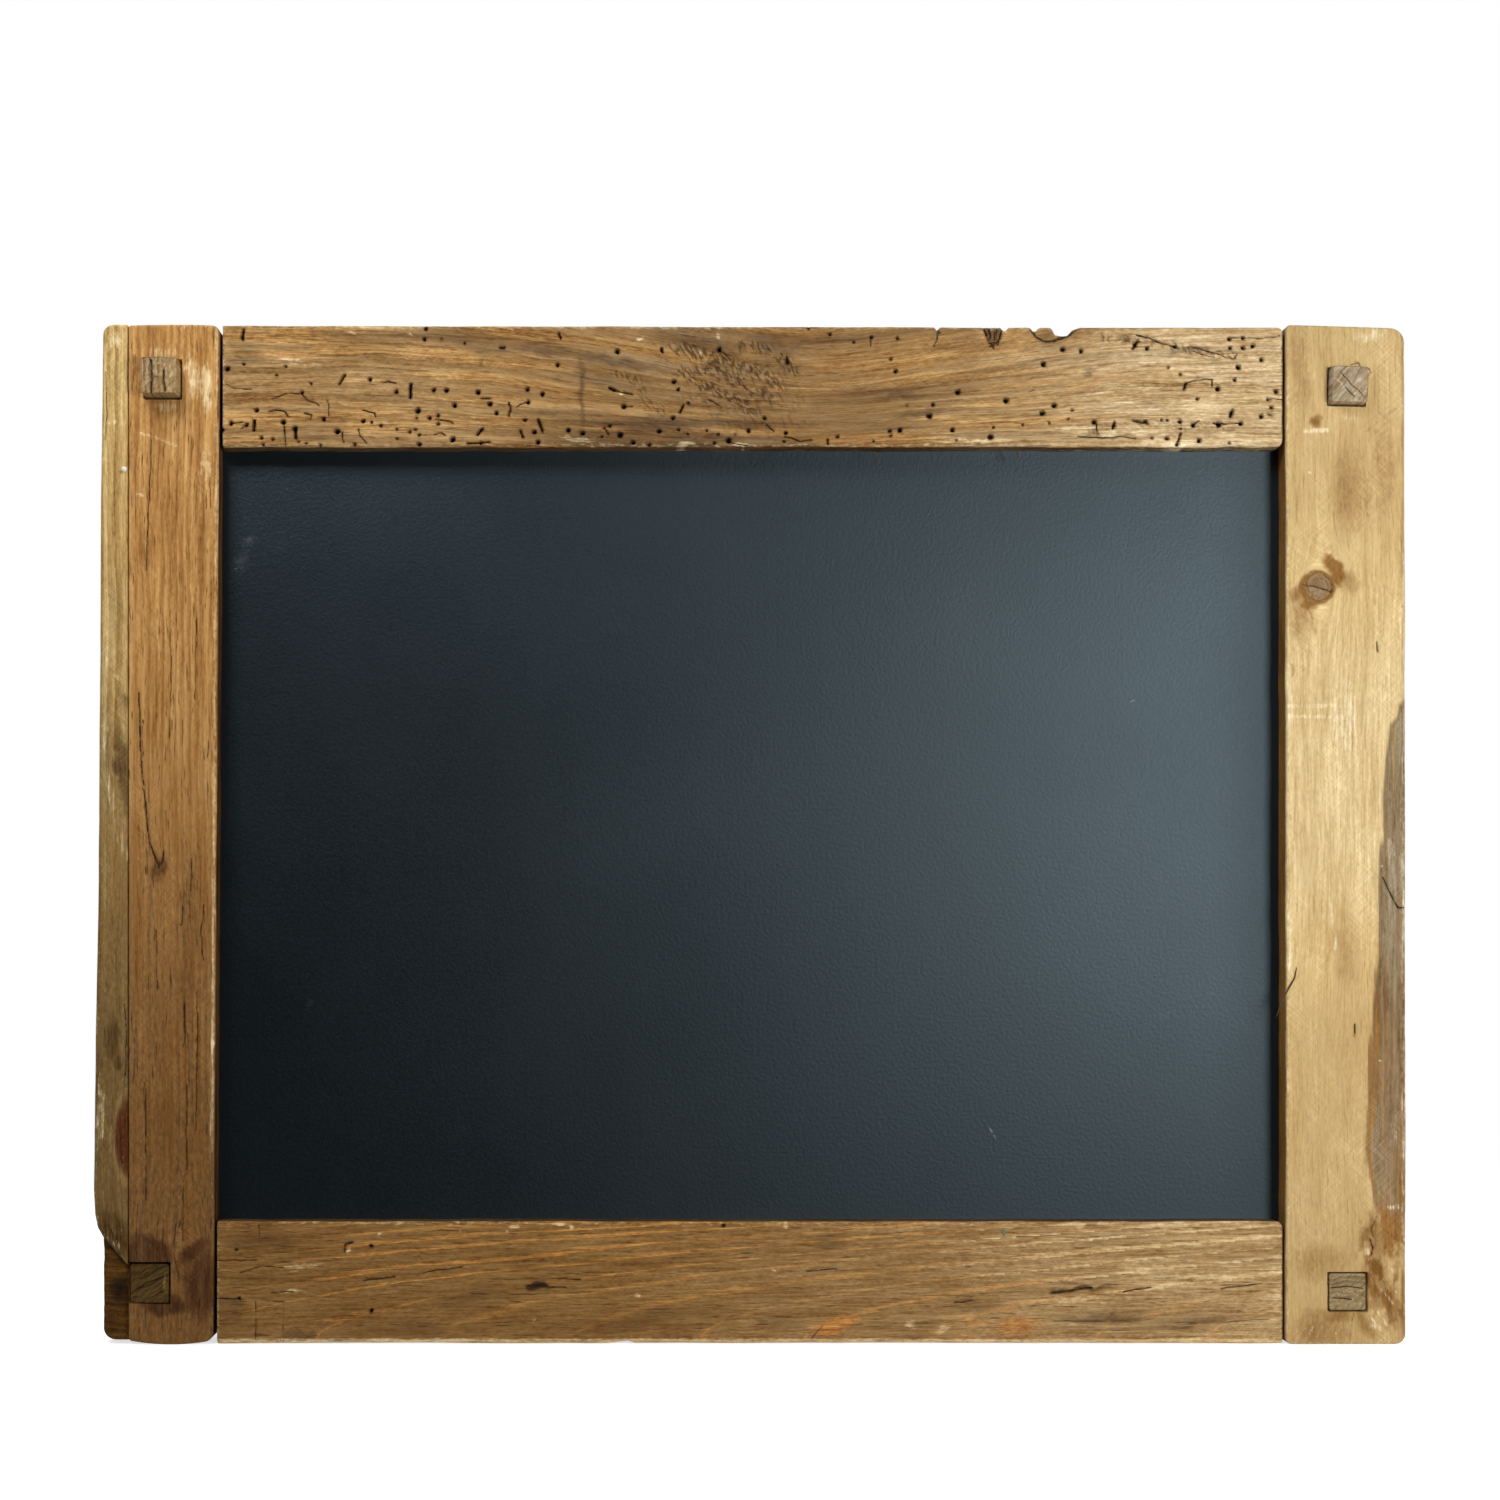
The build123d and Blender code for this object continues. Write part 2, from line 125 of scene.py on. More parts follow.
def sawn_board(along, outer, inner, face, back, arris, step, lip=None, end_round=1.4, finer=None):
    """Section rings of a board. Each ring starts at the outer arris and runs across the face to the inner
    arris as quarter rounds with a flat between, down the inner edge to the rebate's bed, along the bed,
    along the rebate's wall, back across the back and up the outer edge. The lip gives the rebate's bed,
    its wall and the share of it that is cut at each place. Towards each end the face and the back fall
    away in a quarter round. Returns along, across and depth arrays, the share that is face, and the
    distance from the nearest arris."""
    along, outer, inner = along[:, None], outer[:, None], inner[:, None]
    end_gap = np.minimum(along - along.min(), along.max() - along)
    top, bottom = face + rounded(end_gap, end_round), back - rounded(end_gap, end_round)
    inward = np.sign(inner - outer)
    width = np.abs(inner - outer)
    outer_round = np.minimum(arris[0], width * ROUND_SHARE)
    inner_round = np.minimum(arris[1], width * ROUND_SHARE)
    back_round = np.minimum(BACK_ARRIS, width * ROUND_SHARE)
    turn = np.linspace(0, math.pi / 2, ARRIS_POINTS)[None]
    back_turn = turn[:, ::-1]
    across_face = np.linspace(0, 1, int(width.max() / step))[1:-1] if finer is None else finer
    across_face = across_face[None]
    few, some, many = (np.linspace(0, 1, count)[None, 1:] for count in (4, 7, 12))
    uncut = (back, inner - inward * ROUND_SHARE * width, along * 0)
    bed, line, cut = lip if lip else uncut
    shelf = bottom + cut * (bed - bottom)
    flat = inner - outer - inward * (outer_round + inner_round)
    strips = [
        (outer + inward * outer_round * (1 - np.cos(turn)), top + outer_round * (1 - np.sin(turn))),
        (outer + inward * outer_round + across_face * flat, top + 0 * across_face),
        (inner - inward * inner_round * (1 - np.cos(back_turn)),
         top + inner_round * (1 - np.sin(back_turn))),
        (inner + 0 * some, top + inner_round + some * (shelf - top - inner_round)),
        (inner + few * (line - inner), shelf + 0 * few),
        (line + 0 * few, shelf + few * (bottom - shelf)),
        (line + many * (outer + inward * back_round - line), bottom + 0 * many),
        (outer + inward * back_round * (1 - np.cos(back_turn[:, 1:])),
         bottom - back_round * (1 - np.sin(back_turn[:, 1:]))),
        (outer + 0 * some[:, :-1],
         bottom - back_round + some[:, :-1] * (top + outer_round - bottom + back_round)),
    ]
    grid = np.ones_like(along)
    across = np.concatenate([grid * strip[0] for strip in strips], 1)
    depth = np.concatenate([grid * strip[1] for strip in strips], 1)
    is_face = np.zeros(across.shape[1])
    is_face[: 2 * turn.size + across_face.size] = 1
    arris_gap = np.minimum(np.minimum(np.abs(across - outer), np.abs(across - inner)), end_gap + 0 * across)
    arris_gap = np.where(is_face, arris_gap + (depth - top), np.maximum(depth - top, 0))
    return along + 0 * across, across, depth, is_face + 0 * across, arris_gap


SHRINK_STEPS = np.array([0, 0.2, 0.4, 0.6, 0.8])


def closed_ends(rows, ends, arris_gap):
    """Adds rings that shrink to a point at each end of a stack of section rings. Each point is given by its
    place along, across and in depth; it is no part of the face and lies this far from an arris."""
    shrink = SHRINK_STEPS[:, None]
    first, last = ((*end, 0.0, arris_gap) for end in ends)
    low = [spot + shrink * (row[:1] - spot) for row, spot in zip(rows, first)]
    high = [spot + shrink[::-1] * (row[-1:] - spot) for row, spot in zip(rows, last)]
    return [np.concatenate(parts) for parts in zip(low, rows, high)]


MERGE_GAP = 1e-6
SHARP_ANGLE = 42


def skin(name, x, y, z, marks):
    """A mesh over a stack of closed rings: a face between each ring and the next, doubled points merged.
    Marks are stored on its points for the material to read."""
    rows, count = x.shape
    index = np.arange(rows * count).reshape(rows, count)
    following = np.roll(index, -1, 1)
    quads = np.stack([index[:-1], following[:-1], following[1:], index[1:]], -1).reshape(-1, 4)
    mesh = bpy.data.meshes.new(name)
    mesh.vertices.add(rows * count)
    mesh.vertices.foreach_set("co", (np.stack([x, y, z], -1) * MM).ravel())
    mesh.loops.add(quads.size)
    mesh.loops.foreach_set("vertex_index", quads.ravel())
    mesh.polygons.add(len(quads))
    mesh.polygons.foreach_set("loop_start", np.arange(0, quads.size, 4))
    mesh.update(calc_edges=True)
    for mark, values in marks.items():
        wide = values.ndim == 3
        layer = mesh.attributes.new(mark, "FLOAT_VECTOR" if wide else "FLOAT", "POINT")
        layer.data.foreach_set("vector" if wide else "value", values.ravel().astype(np.float32))
    work = bmesh.new()
    work.from_mesh(mesh)
    bmesh.ops.remove_doubles(work, verts=work.verts, dist=MERGE_GAP)
    bmesh.ops.recalc_face_normals(work, faces=work.faces)
    work.to_mesh(mesh)
    work.free()
    mesh.polygons.foreach_set("use_smooth", np.ones(len(mesh.polygons), bool))
    mesh.set_sharp_from_angle(angle=math.radians(SHARP_ANGLE))
    piece = bpy.data.objects.new(name, mesh)
    bpy.context.scene.collection.objects.link(piece)
    return piece


def line_gap(x, z, pixels, face):
    """Distance from each point of a face to a bent line through these pixels of the photograph, and the
    same distance square to its nearest run, with a sign for the side."""
    spots = [seen(px, py, face) for px, py in pixels]
    near = np.full(x.shape, np.inf)
    side = near.copy()
    for (x0, z0), (x1, z1) in zip(spots, spots[1:]):
        run_x, run_z = x1 - x0, z1 - z0
        length = math.hypot(run_x, run_z)
        share = np.clip(((x - x0) * run_x + (z - z0) * run_z) / length**2, 0, 1)
        gap = np.hypot(x - x0 - share * run_x, z - z0 - share * run_z)
        across = ((x - x0) * run_z - (z - z0) * run_x) / length
        side = np.where(gap < near, across, side)
        near = np.minimum(near, gap)
    return near, side


def shaken(x, z, reach, grain):
    """The same points pushed about by lumpy noise, so that what is drawn on them loses its even shape."""
    push_x = lumps(z / grain, x / grain, 301) - 0.5
    push_z = lumps(x / grain + 9, z / grain, 302) - 0.5
    return x + reach * push_x, z + reach * push_z


CRACK_SHAKE = (1.1, 4.0)


def splits(x, z, cracks, face):
    """For cracks of (pixels, half width): the gap to the nearest, and its signed gap, in half widths."""
    near = np.full(x.shape, FAR)
    side = near.copy()
    x, z = shaken(x, z, *CRACK_SHAKE)
    for pixels, half in cracks:
        gap, across = line_gap(x, z, pixels, face)
        closer = gap / half < near
        near = np.where(closer, gap / half, near)
        side = np.where(closer, across / half, side)
    return near, side


PATCH_SHAKE = (5.0, 6.0)
PATCH_FADE = 1.3


def patch(x, z, px, py, wide, high, face, lean=0):
    """A soft oval round a pixel, half sizes in pixels: 1 in the middle, fading slowly to 0 at its rim."""
    spot_x, spot_z = seen(px, py, face)
    u, v = (x - spot_x) / PIXEL_MM, (z - spot_z) / PIXEL_MM
    turned = math.radians(lean)
    u, v = u * math.cos(turned) + v * math.sin(turned), v * math.cos(turned) - u * math.sin(turned)
    return np.clip(1 - (u / wide) ** 2 - (v / high) ** 2, 0, 1) ** PATCH_FADE


def patches(x, z, ovals, face):
    """The strongest of several soft ovals, each (px, py, wide, high, lean, strength)."""
    most = np.zeros(x.shape)
    x, z = shaken(x, z, *PATCH_SHAKE)
    for px, py, wide, high, lean, strength in ovals:
        most = np.maximum(most, strength * patch(x, z, px, py, wide, high, face, lean))
    return most


STROKE_CORE = 0.4


def strokes(x, z, lines, face):
    """Soft marks along bent lines, each (pixels, half width, strength)."""
    most = np.zeros(x.shape)
    for pixels, half, strength in lines:
        gap, _ = line_gap(x, z, pixels, face)
        most = np.maximum(most, strength * (1 - eased(gap / half - STROKE_CORE)))
    return most


def put(tree, kind, wires, **settings):
    """Adds one shader node. Wires are {input: a number, a colour or another node's output}."""
    added = tree.nodes.new("ShaderNode" + kind)
    for key, value in settings.items():
        setattr(added, key, value)
    for key, value in wires.items():
        if isinstance(value, bpy.types.NodeSocket):
            tree.links.new(value, added.inputs[key])
        else:
            added.inputs[key].default_value = value
    return added.outputs


def calc(tree, operation, *values):
    """One sum on values or sockets."""
    return put(tree, "Math", dict(enumerate(values)), operation=operation)[0]


def ramp(tree, value, low, high, to_low=0.0, to_high=1.0):
    """Smooth step of a value from one range to another."""
    wires = {"Value": value, "From Min": low, "From Max": high, "To Min": to_low, "To Max": to_high}
    return put(tree, "MapRange", wires, interpolation_type="SMOOTHSTEP")[0]


def blend(tree, share, base, over, how="MIX"):
    """Lays one colour over another by a share."""
    return put(tree, "Mix", {0: share, 6: base, 7: over}, data_type="RGBA", blend_type=how)[2]


def grained(tree, position, stretch, detail=3.0, rough=0.55):
    """Noise on the fibre position, scaled along, across and into the wood."""
    scaled = put(tree, "VectorMath", {0: position, 1: stretch}, operation="MULTIPLY")[0]
    return put(tree, "TexNoise", {"Vector": scaled, "Scale": 1.0, "Detail": detail, "Roughness": rough})[0]


def warm(tree, value):
    """A value near 1 as a colour to multiply by: redder where it darkens, as aged wood is."""
    red = calc(tree, "POWER", value, 0.75)
    blue = calc(tree, "POWER", value, 1.4)
    return put(tree, "CombineColor", {0: red, 1: value, 2: blue})[0]


def toned(tree, base, tone, share=1.0):
    """A colour multiplied by a tone near 1, by a share."""
    return blend(tree, share, base, warm(tree, tone), "MULTIPLY")


def swayed(tree, value, noise, amount):
    """A value moved up and down by a noise: the noise less a half, times the amount, is added."""
    return calc(tree, "MULTIPLY_ADD", calc(tree, "SUBTRACT", noise, 0.5), amount, value)


def new_group(name, colours, numbers, vectors, outputs):
    """An empty shader group with these named sockets."""
    tree = bpy.data.node_groups.new(name, "ShaderNodeTree")
    for kind, names in (("Color", colours), ("Float", numbers), ("Vector", vectors)):
        for socket in names:
            tree.interface.new_socket(socket, in_out="INPUT", socket_type="NodeSocket" + kind)
    for socket, kind in outputs.items():
        tree.interface.new_socket(socket, in_out="OUTPUT", socket_type="NodeSocket" + kind)
    return tree, tree.nodes.new("NodeGroupInput").outputs, tree.nodes.new("NodeGroupOutput").inputs


# After the pore shade, the colours are painted shade: torn hollows and the rims of holes and cracks, then
# cracks, then holes.
PORE_SHADE = (0.26, 0.19, 0.14, 1)
HOLLOW_SHADE = (0.34, 0.25, 0.17, 1)
CRACK_DARK = (0.026, 0.014, 0.007, 1)
HOLE_DARK = (0.009, 0.006, 0.004, 1)
FLAKE_LEAN = 0.58


def old_wood_group():
    """Weathered softwood. The ring count gives late wood that darkens slowly and ends in a quick edge; the
    fibre position, in millimetres, gives fibres, streaks, blotches and short pores, and in patches the
    slanting scratches of coarse sanding; masks lay painted light, heartwood, stain with painted shade, torn
    flakes with painted shade and highlights, worn wood, splits and worm holes over them, and the splits and
    holes are filled and rimmed with painted shade."""
    tree, given, result = new_group(
        "old wood",
        ("Early wood", "Late wood", "Worn and lit wood", "Stain and shade", "Heartwood"),
        ("Ring", "Late share", "Figure", "Fibre", "Streak", "Pores", "Scuff",
         "Wear", "Dark", "Pale", "Painted light", "Heart", "Torn", "Bore", "Split", "Near"),
        ("Grain",),
        {"Color": "Color", "Roughness": "Float", "Height": "Float"},
    )
    grain = given["Grain"]
    fibre = grained(tree, grain, (0.05, 0.8, 0.8), 6.0, 0.7)
    grit = grained(tree, grain, (0.25, 1.3, 1.3), 4.0, 0.72)
    streak = grained(tree, grain, (0.012, 0.26, 0.26), 4.0, 0.6)
    blotch = grained(tree, grain, (0.016, 0.06, 0.06), 4.0, 0.6)
    mottle = grained(tree, grain, (0.3, 0.6, 0.6), 5.0, 0.7)
    pore = grained(tree, grain, (0.09, 1.1, 1.1), 2.0, 0.5)
    wander = calc(tree, "MULTIPLY_ADD", streak, 0.7, calc(tree, "MULTIPLY_ADD", fibre, 0.3, given["Ring"]))
    phase = calc(tree, "FRACT", wander)
    strength = put(tree, "TexWhiteNoise", {"W": calc(tree, "FLOOR", wander)}, noise_dimensions="1D")[0]
    start = calc(tree, "MULTIPLY_ADD", given["Late share"], -1.8, 0.97)
    full = calc(tree, "MULTIPLY_ADD", given["Late share"], -0.35, 0.97)
    late = calc(tree, "MULTIPLY", ramp(tree, phase, start, full), ramp(tree, phase, 1.0, 0.95))
    late = calc(tree, "MULTIPLY", late, calc(tree, "MULTIPLY_ADD", strength, 0.8, 0.3))
    late = calc(tree, "MULTIPLY", late, ramp(tree, blotch, 0.3, 0.6, 0.35, 1.0))
    late = calc(tree, "MULTIPLY", late, given["Figure"])
    body = blend(tree, late, given["Early wood"], given["Late wood"])
    tone = swayed(tree, 1.0, streak, calc(tree, "MULTIPLY", given["Streak"], 1.6))
    tone = swayed(tree, tone, fibre, calc(tree, "MULTIPLY", given["Fibre"], 1.7))
    tone = swayed(tree, tone, grit, calc(tree, "MULTIPLY", given["Fibre"], 0.9))
    tone = swayed(tree, tone, mottle, calc(tree, "MULTIPLY", given["Fibre"], 0.9))
    tone = swayed(tree, tone, blotch, 0.9)
    way = put(tree, "SeparateXYZ", {0: grain})
    leaning = {0: calc(tree, "ADD", way[0], way[1]), 1: calc(tree, "SUBTRACT", way[0], way[1]), 2: way[2]}
    slanted = put(tree, "CombineXYZ", leaning)[0]
    one_way = grained(tree, slanted, (0.05, 0.8, 0.8))
    other_way = grained(tree, slanted, (0.7, 0.04, 0.8))
    scuff = calc(tree, "SUBTRACT", calc(tree, "ADD", one_way, other_way), 1.0)
    scuff = calc(tree, "MULTIPLY", scuff, ramp(tree, blotch, 0.42, 0.62))
    tone = calc(tree, "MULTIPLY_ADD", scuff, given["Scuff"], tone)
    tone = calc(tree, "MAXIMUM", tone, 0.2)
    deep = calc(tree, "MAXIMUM", calc(tree, "MULTIPLY_ADD", tone, 1.7, -0.7), 0.2)
    body = toned(tree, body, tone)
    # Painted light: the wood is lightened towards the worn colour where the mask says it is lit.
    body = blend(tree, given["Painted light"], body, toned(tree, given["Worn and lit wood"], tone))
    frayed = swayed(tree, given["Heart"], fibre, 1.5)
    frayed = swayed(tree, frayed, streak, 1.5)
    frayed = calc(tree, "MULTIPLY", ramp(tree, frayed, 0.1, 0.8), ramp(tree, given["Heart"], 0.0, 0.25))
    body = blend(tree, frayed, body, toned(tree, given["Heartwood"], deep))
    # The dark mask carries real stains and painted shade alike.
    ragged = swayed(tree, given["Dark"], mottle, 1.1)
    ragged = swayed(tree, ragged, streak, 1.1)
    ragged = swayed(tree, ragged, fibre, 0.8)
    ragged = calc(tree, "MULTIPLY", ramp(tree, ragged, 0.0, 1.1), ramp(tree, given["Dark"], 0.0, 0.45))
    body = blend(tree, ragged, body, toned(tree, given["Stain and shade"], deep))
    dashes = calc(tree, "MULTIPLY", ramp(tree, pore, 0.6, 0.7), ramp(tree, streak, 0.35, 0.6))
    dashes = calc(tree, "MULTIPLY", dashes, given["Pores"])
    body = blend(tree, dashes, body, blend(tree, 1.0, body, PORE_SHADE, "MULTIPLY"))
    down = calc(tree, "MULTIPLY_ADD", way[1], FLAKE_LEAN, way[0])
    over = calc(tree, "MULTIPLY_ADD", way[0], -FLAKE_LEAN, way[1])
    flakes = grained(tree, put(tree, "CombineXYZ", {0: down, 1: over})[0], (0.6, 0.24, 1.0), 2.0, 0.5)
    # Torn flakes: painted shade in their hollows and a painted highlight on their lips.
    hollow = calc(tree, "MULTIPLY", ramp(tree, flakes, 0.5, 0.6), given["Torn"])
    shaded = blend(tree, 1.0, body, HOLLOW_SHADE, "MULTIPLY")
    body = blend(tree, calc(tree, "MULTIPLY", hollow, 0.72), body, shaded)
    lip = calc(tree, "MULTIPLY", ramp(tree, flakes, 0.47, 0.36), given["Torn"])
    body = blend(tree, calc(tree, "MULTIPLY", lip, 0.1), body, toned(tree, given["Worn and lit wood"], tone))
    rubbed = swayed(tree, given["Wear"], mottle, 2.2)
    rubbed = calc(tree, "MULTIPLY", ramp(tree, rubbed, 0.35, 1.05), 0.7)
    # Pale marks carry scrapes and, in places, painted highlights.
    scraped_and_lit = swayed(tree, given["Pale"], fibre, 1.8)
    scraped_and_lit = swayed(tree, scraped_and_lit, mottle, 1.2)
    scraped_and_lit = calc(tree, "MULTIPLY", ramp(tree, scraped_and_lit, 0.1, 1.0), ramp(tree, given["Pale"], 0.0, 0.3))
    worn = calc(tree, "MAXIMUM", rubbed, scraped_and_lit)
    body = blend(tree, worn, body, toned(tree, given["Worn and lit wood"], tone, 0.7))
    # Painted shade: cracks and worm holes are filled with dark colour, and their rims are shaded.
    thick = calc(tree, "MULTIPLY_ADD", mottle, -2.2, calc(tree, "ABSOLUTE", given["Split"]))
    crack = calc(tree, "MULTIPLY", ramp(tree, thick, 0.15, -0.85), ramp(tree, given["Near"], 3.0, 1.4))
    crack = calc(tree, "MULTIPLY", crack, ramp(tree, mottle, 0.32, 0.55, 0.25, 0.95))
    crack_shade = calc(tree, "MULTIPLY", ramp(tree, given["Near"], 4.5, 0.5), 0.22)
    nibbled = swayed(tree, given["Bore"], mottle, 1.3)
    rim_shade = calc(tree, "MAXIMUM", calc(tree, "MULTIPLY", ramp(tree, nibbled, 0.9, 0.0), 0.5), crack_shade)
    body = blend(tree, rim_shade, body, blend(tree, 1.0, body, HOLLOW_SHADE, "MULTIPLY"))
    body = blend(tree, crack, body, CRACK_DARK)
    pit = calc(tree, "MULTIPLY", ramp(tree, nibbled, 0.16, -0.5), ramp(tree, mottle, 0.3, 0.5, 0.75, 1.0))
    body = blend(tree, pit, body, HOLE_DARK)
    height = calc(tree, "MULTIPLY_ADD", late, 0.4, fibre)
    height = calc(tree, "MULTIPLY_ADD", mottle, 0.7, height)
    height = calc(tree, "MULTIPLY_ADD", grit, 0.4, height)
    open_grain = calc(tree, "MAXIMUM", dashes, crack)
    height = calc(tree, "SUBTRACT", height, calc(tree, "MULTIPLY", open_grain, 0.7))
    height = calc(tree, "MULTIPLY_ADD", hollow, -1.4, height)
    gloss = calc(tree, "MULTIPLY_ADD", mottle, 0.25, calc(tree, "MULTIPLY_ADD", worn, -0.1, 0.52))
    tree.links.new(body, result["Color"])
    tree.links.new(gloss, result["Roughness"])
    tree.links.new(height, result["Height"])
    return tree


OLD_WOOD = old_wood_group()
WOOD_MARKS = {"Ring": "ring", "Wear": "wear", "Dark": "dark", "Pale": "pale", "Painted light": "painted_light",
              "Heart": "heart", "Torn": "torn", "Bore": "bore", "Split": "split", "Near": "near"}
BOARD_GRAIN_DEPTH = 0.0008
BOARD_SHEEN = 0.15


def new_material(name):
    """A new material, its node tree and its shader."""
    material = bpy.data.materials.new(name)
    material.use_nodes = True
    return material, material.node_tree, material.node_tree.nodes["Principled BSDF"]


def wood_material(name, hues, amounts, relief, grain_depth, sheen):
    """A material that shows the old wood group with these colours and amounts."""
    material, tree, shader = new_material(name)
    group = tree.nodes.new("ShaderNodeGroup")
    group.node_tree = OLD_WOOD
    for socket, hue in hues.items():
        group.inputs[socket].default_value = colour(*hue)
    for socket, amount in amounts.items():
        group.inputs[socket].default_value = amount
    tree.links.new(group.outputs["Color"], shader.inputs["Base Color"])
    tree.links.new(group.outputs["Roughness"], shader.inputs["Roughness"])
    height = group.outputs["Height"]
    bump = put(tree, "Bump", {"Strength": relief, "Distance": grain_depth, "Height": height})
    tree.links.new(bump[0], shader.inputs["Normal"])
    shader.inputs["Specular IOR Level"].default_value = sheen
    return material, tree, group


def old_wood(name, hues, late_share, figure, fibre, streak, pores, scuff, relief=0.7):
    """Material of one board: the old wood group on the board's own marks, with its own colours."""
    amounts = {"Late share": late_share, "Figure": figure, "Fibre": fibre, "Streak": streak, "Pores": pores,
               "Scuff": scuff}
    material, tree, group = wood_material(name, hues, amounts, relief, BOARD_GRAIN_DEPTH, BOARD_SHEEN)
    for socket, mark in WOOD_MARKS.items():
        tree.links.new(put(tree, "Attribute", {}, attribute_name=mark)["Fac"], group.inputs[socket])
    tree.links.new(put(tree, "Attribute", {}, attribute_name="grain")["Vector"], group.inputs["Grain"])
    return material


def plain_marks(along, across, depth, ring, arris_gap, wear_reach):
    """Marks that every board carries: fibre position, ring count, and wear that fades in from the arris."""
    clear = np.zeros(along.shape)
    marks = {"grain": np.stack([along, across, depth], -1), "ring": ring}
    marks["wear"] = np.exp(-arris_gap / wear_reach)
    marks.update({mark: clear.copy() for mark in ("dark", "pale", "painted_light", "heart", "torn")})
    marks.update({mark: clear + FAR for mark in ("bore", "split", "near")})
    return marks


def finish_board(name, node, material, x, y, z, marks):
    """Makes a board's mesh, gives it its material and lets it stand for its solid."""
    piece = skin(name, x, y, z, marks)
    piece.data.materials.append(material)
    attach(piece, "board")
    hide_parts(node)


PEG_GAP = 0.35
PIT_DEPTH = 5.0
PIT_EDGE = 0.7
PIT_FLOOR = -2.0
# Painted shade: its strength on the sides that face the panel and at the rails' shoulders, and how far in
# from the inner edge it reaches.
PAINTED_SHADE = 1.4
PAINTED_SHADE_REACH = 2.0


def let_in(x, y, z, face, marks, middle_x, middle_z, half, lean):
    """Sinks a square pit in a stile's face for a peg, a little wider than the peg, with painted shade at
    its edges.
    """
    turned = math.radians(lean)
    u = (x - middle_x) * math.cos(turned) + (z - middle_z) * math.sin(turned)
    v = (z - middle_z) * math.cos(turned) - (x - middle_x) * math.sin(turned)
    rim = np.maximum(np.abs(u), np.abs(v)) - half - PEG_GAP
    marks["bore"] = np.minimum(marks["bore"], np.where(face > 0.5, np.maximum(rim, PIT_FLOOR), FAR))
    return y + face * PIT_DEPTH * eased(0.5 - rim / PIT_EDGE)


def shaded_panel_side(marks, face, from_inner):
    """Painted shade on the side of a board that faces the panel, by the distance in from its inner edge."""
    marks["dark"] = np.maximum(marks["dark"], PAINTED_SHADE * (face < 0.5) * (from_inner < PAINTED_SHADE_REACH))


LEFT_INNER_TOP = -258.2
LEFT_INNER_FOOT = -261.4
LEFT_CORNER = 3.6
SEAM_CORNER = 1.6
LEFT_SEAM_ARRIS = 0.6
LEFT_REBATE = -270.4
LEFT_MIDDLE = (-285.0, -6.0)
LEFT_CENTRE, LEFT_HALF = -282, 22
STILE_END_GAP = 6.0
ROW_STEP = 0.9
FACE_STEP = 0.75
LEFT_PEGS = [(-286.0, 470.0, 8.7, 0), (-292.4, 29.8, 9.5, 0)]
LEFT_CRACKS = [
    ([(139, 694), (140.5, 753), (144, 796), (149, 842), (158, 867)], 0.42),
    ([(163.5, 852), (162, 861), (158, 867)], 0.35), ([(151, 440), (149, 500), (146, 570)], 0.24),
    ([(184, 1003), (184.5, 1030), (183.5, 1046)], 0.34), ([(203.5, 905), (201, 935), (203, 960)], 0.22),
    ([(197, 1000), (196.5, 1062), (196, 1130)], 0.2), ([(191, 860), (190.5, 890)], 0.28),
    ([(182, 905), (181.5, 925)], 0.26), ([(145, 1090), (146, 1150), (145.5, 1200)], 0.24),
    ([(183, 1180), (182.5, 1240)], 0.2), ([(187, 1085), (186, 1130), (187, 1170)], 0.2),
    ([(143, 720), (142, 790)], 0.2), ([(170, 610), (171, 680), (169, 740)], 0.16),
    ([(196, 620), (195, 700)], 0.18), ([(156, 930), (157, 990)], 0.18),
]
LEFT_STAINS = [
    (146, 1254, 28, 22, 0, 0.85), (147, 1260, 26, 9, 0, 1.3), (200, 1285, 22, 46, 0, 0.5),
    (192, 1252, 24, 10, 38, 0.5), (165, 1306, 30, 12, 0, 0.55), (205, 540, 6, 60, 0, 0.3),
    (159, 868, 9, 20, 0, 0.45), (188, 940, 10, 130, 0, 0.12), (148, 560, 4, 40, 0, 0.35),
]
LEFT_SCRAPES = [
    (206, 388, 8, 30, 2, 1.1), (195, 380, 11, 24, 0, 0.7), (163, 352, 24, 7, 0, 0.5),
    (187, 366, 5, 16, 0, 0.7), (141, 495, 5, 2.2, 0, 0.8), (212, 1045, 2.5, 8, 0, 0.8),
    (164, 407, 18, 8, 0, 0.6), (205, 465, 8, 22, 0, 0.4),
]
LEFT_SCRATCHES = [([(139, 433), (155, 437), (176, 446)], 0.6, 0.6)]

along = stations(0.0, TOP_Z, ROW_STEP, (REBATE_LOW, REBATE_HIGH))
end_gap = np.minimum(along, TOP_Z - along)
inner = LEFT_INNER_FOOT + (LEFT_INNER_TOP - LEFT_INNER_FOOT) * along / TOP_Z
inner += 0.5 * (lumps(along / 26, along * 0, 3) - 0.5) - 0.2 - rounded(end_gap, LEFT_CORNER)
outer = SEAM_X + SEAM_GAP + rounded(end_gap, SEAM_CORNER)
cut = ((along > REBATE_LOW) & (along < REBATE_HIGH)).astype(float)[:, None]
inner_arris = (1.0 + 1.1 * lumps(along / 34, along * 0 + 5, 4))[:, None]
rows = sawn_board(along, outer, inner, STILE_FACE, STILE_BACK, (LEFT_SEAM_ARRIS, inner_arris), FACE_STEP,
                  (BED, LEFT_REBATE, cut))
ends = [(place, *LEFT_MIDDLE) for place in (0.0, TOP_Z)]
z, x, y, face, arris_gap = closed_ends(rows, ends, STILE_END_GAP)
swirl = 9 * patch(x, z, 152, 1245, 34, 60, STILE_FACE) - 7 * patch(x, z, 200, 1270, 26, 70, STILE_FACE)
bend = 5.5 * (lumps(z / 160, x / 60, 5, 2) - 0.5) + 1.6 * (lumps(z / 45, x / 14, 6) - 0.5) + 0.3 * swirl
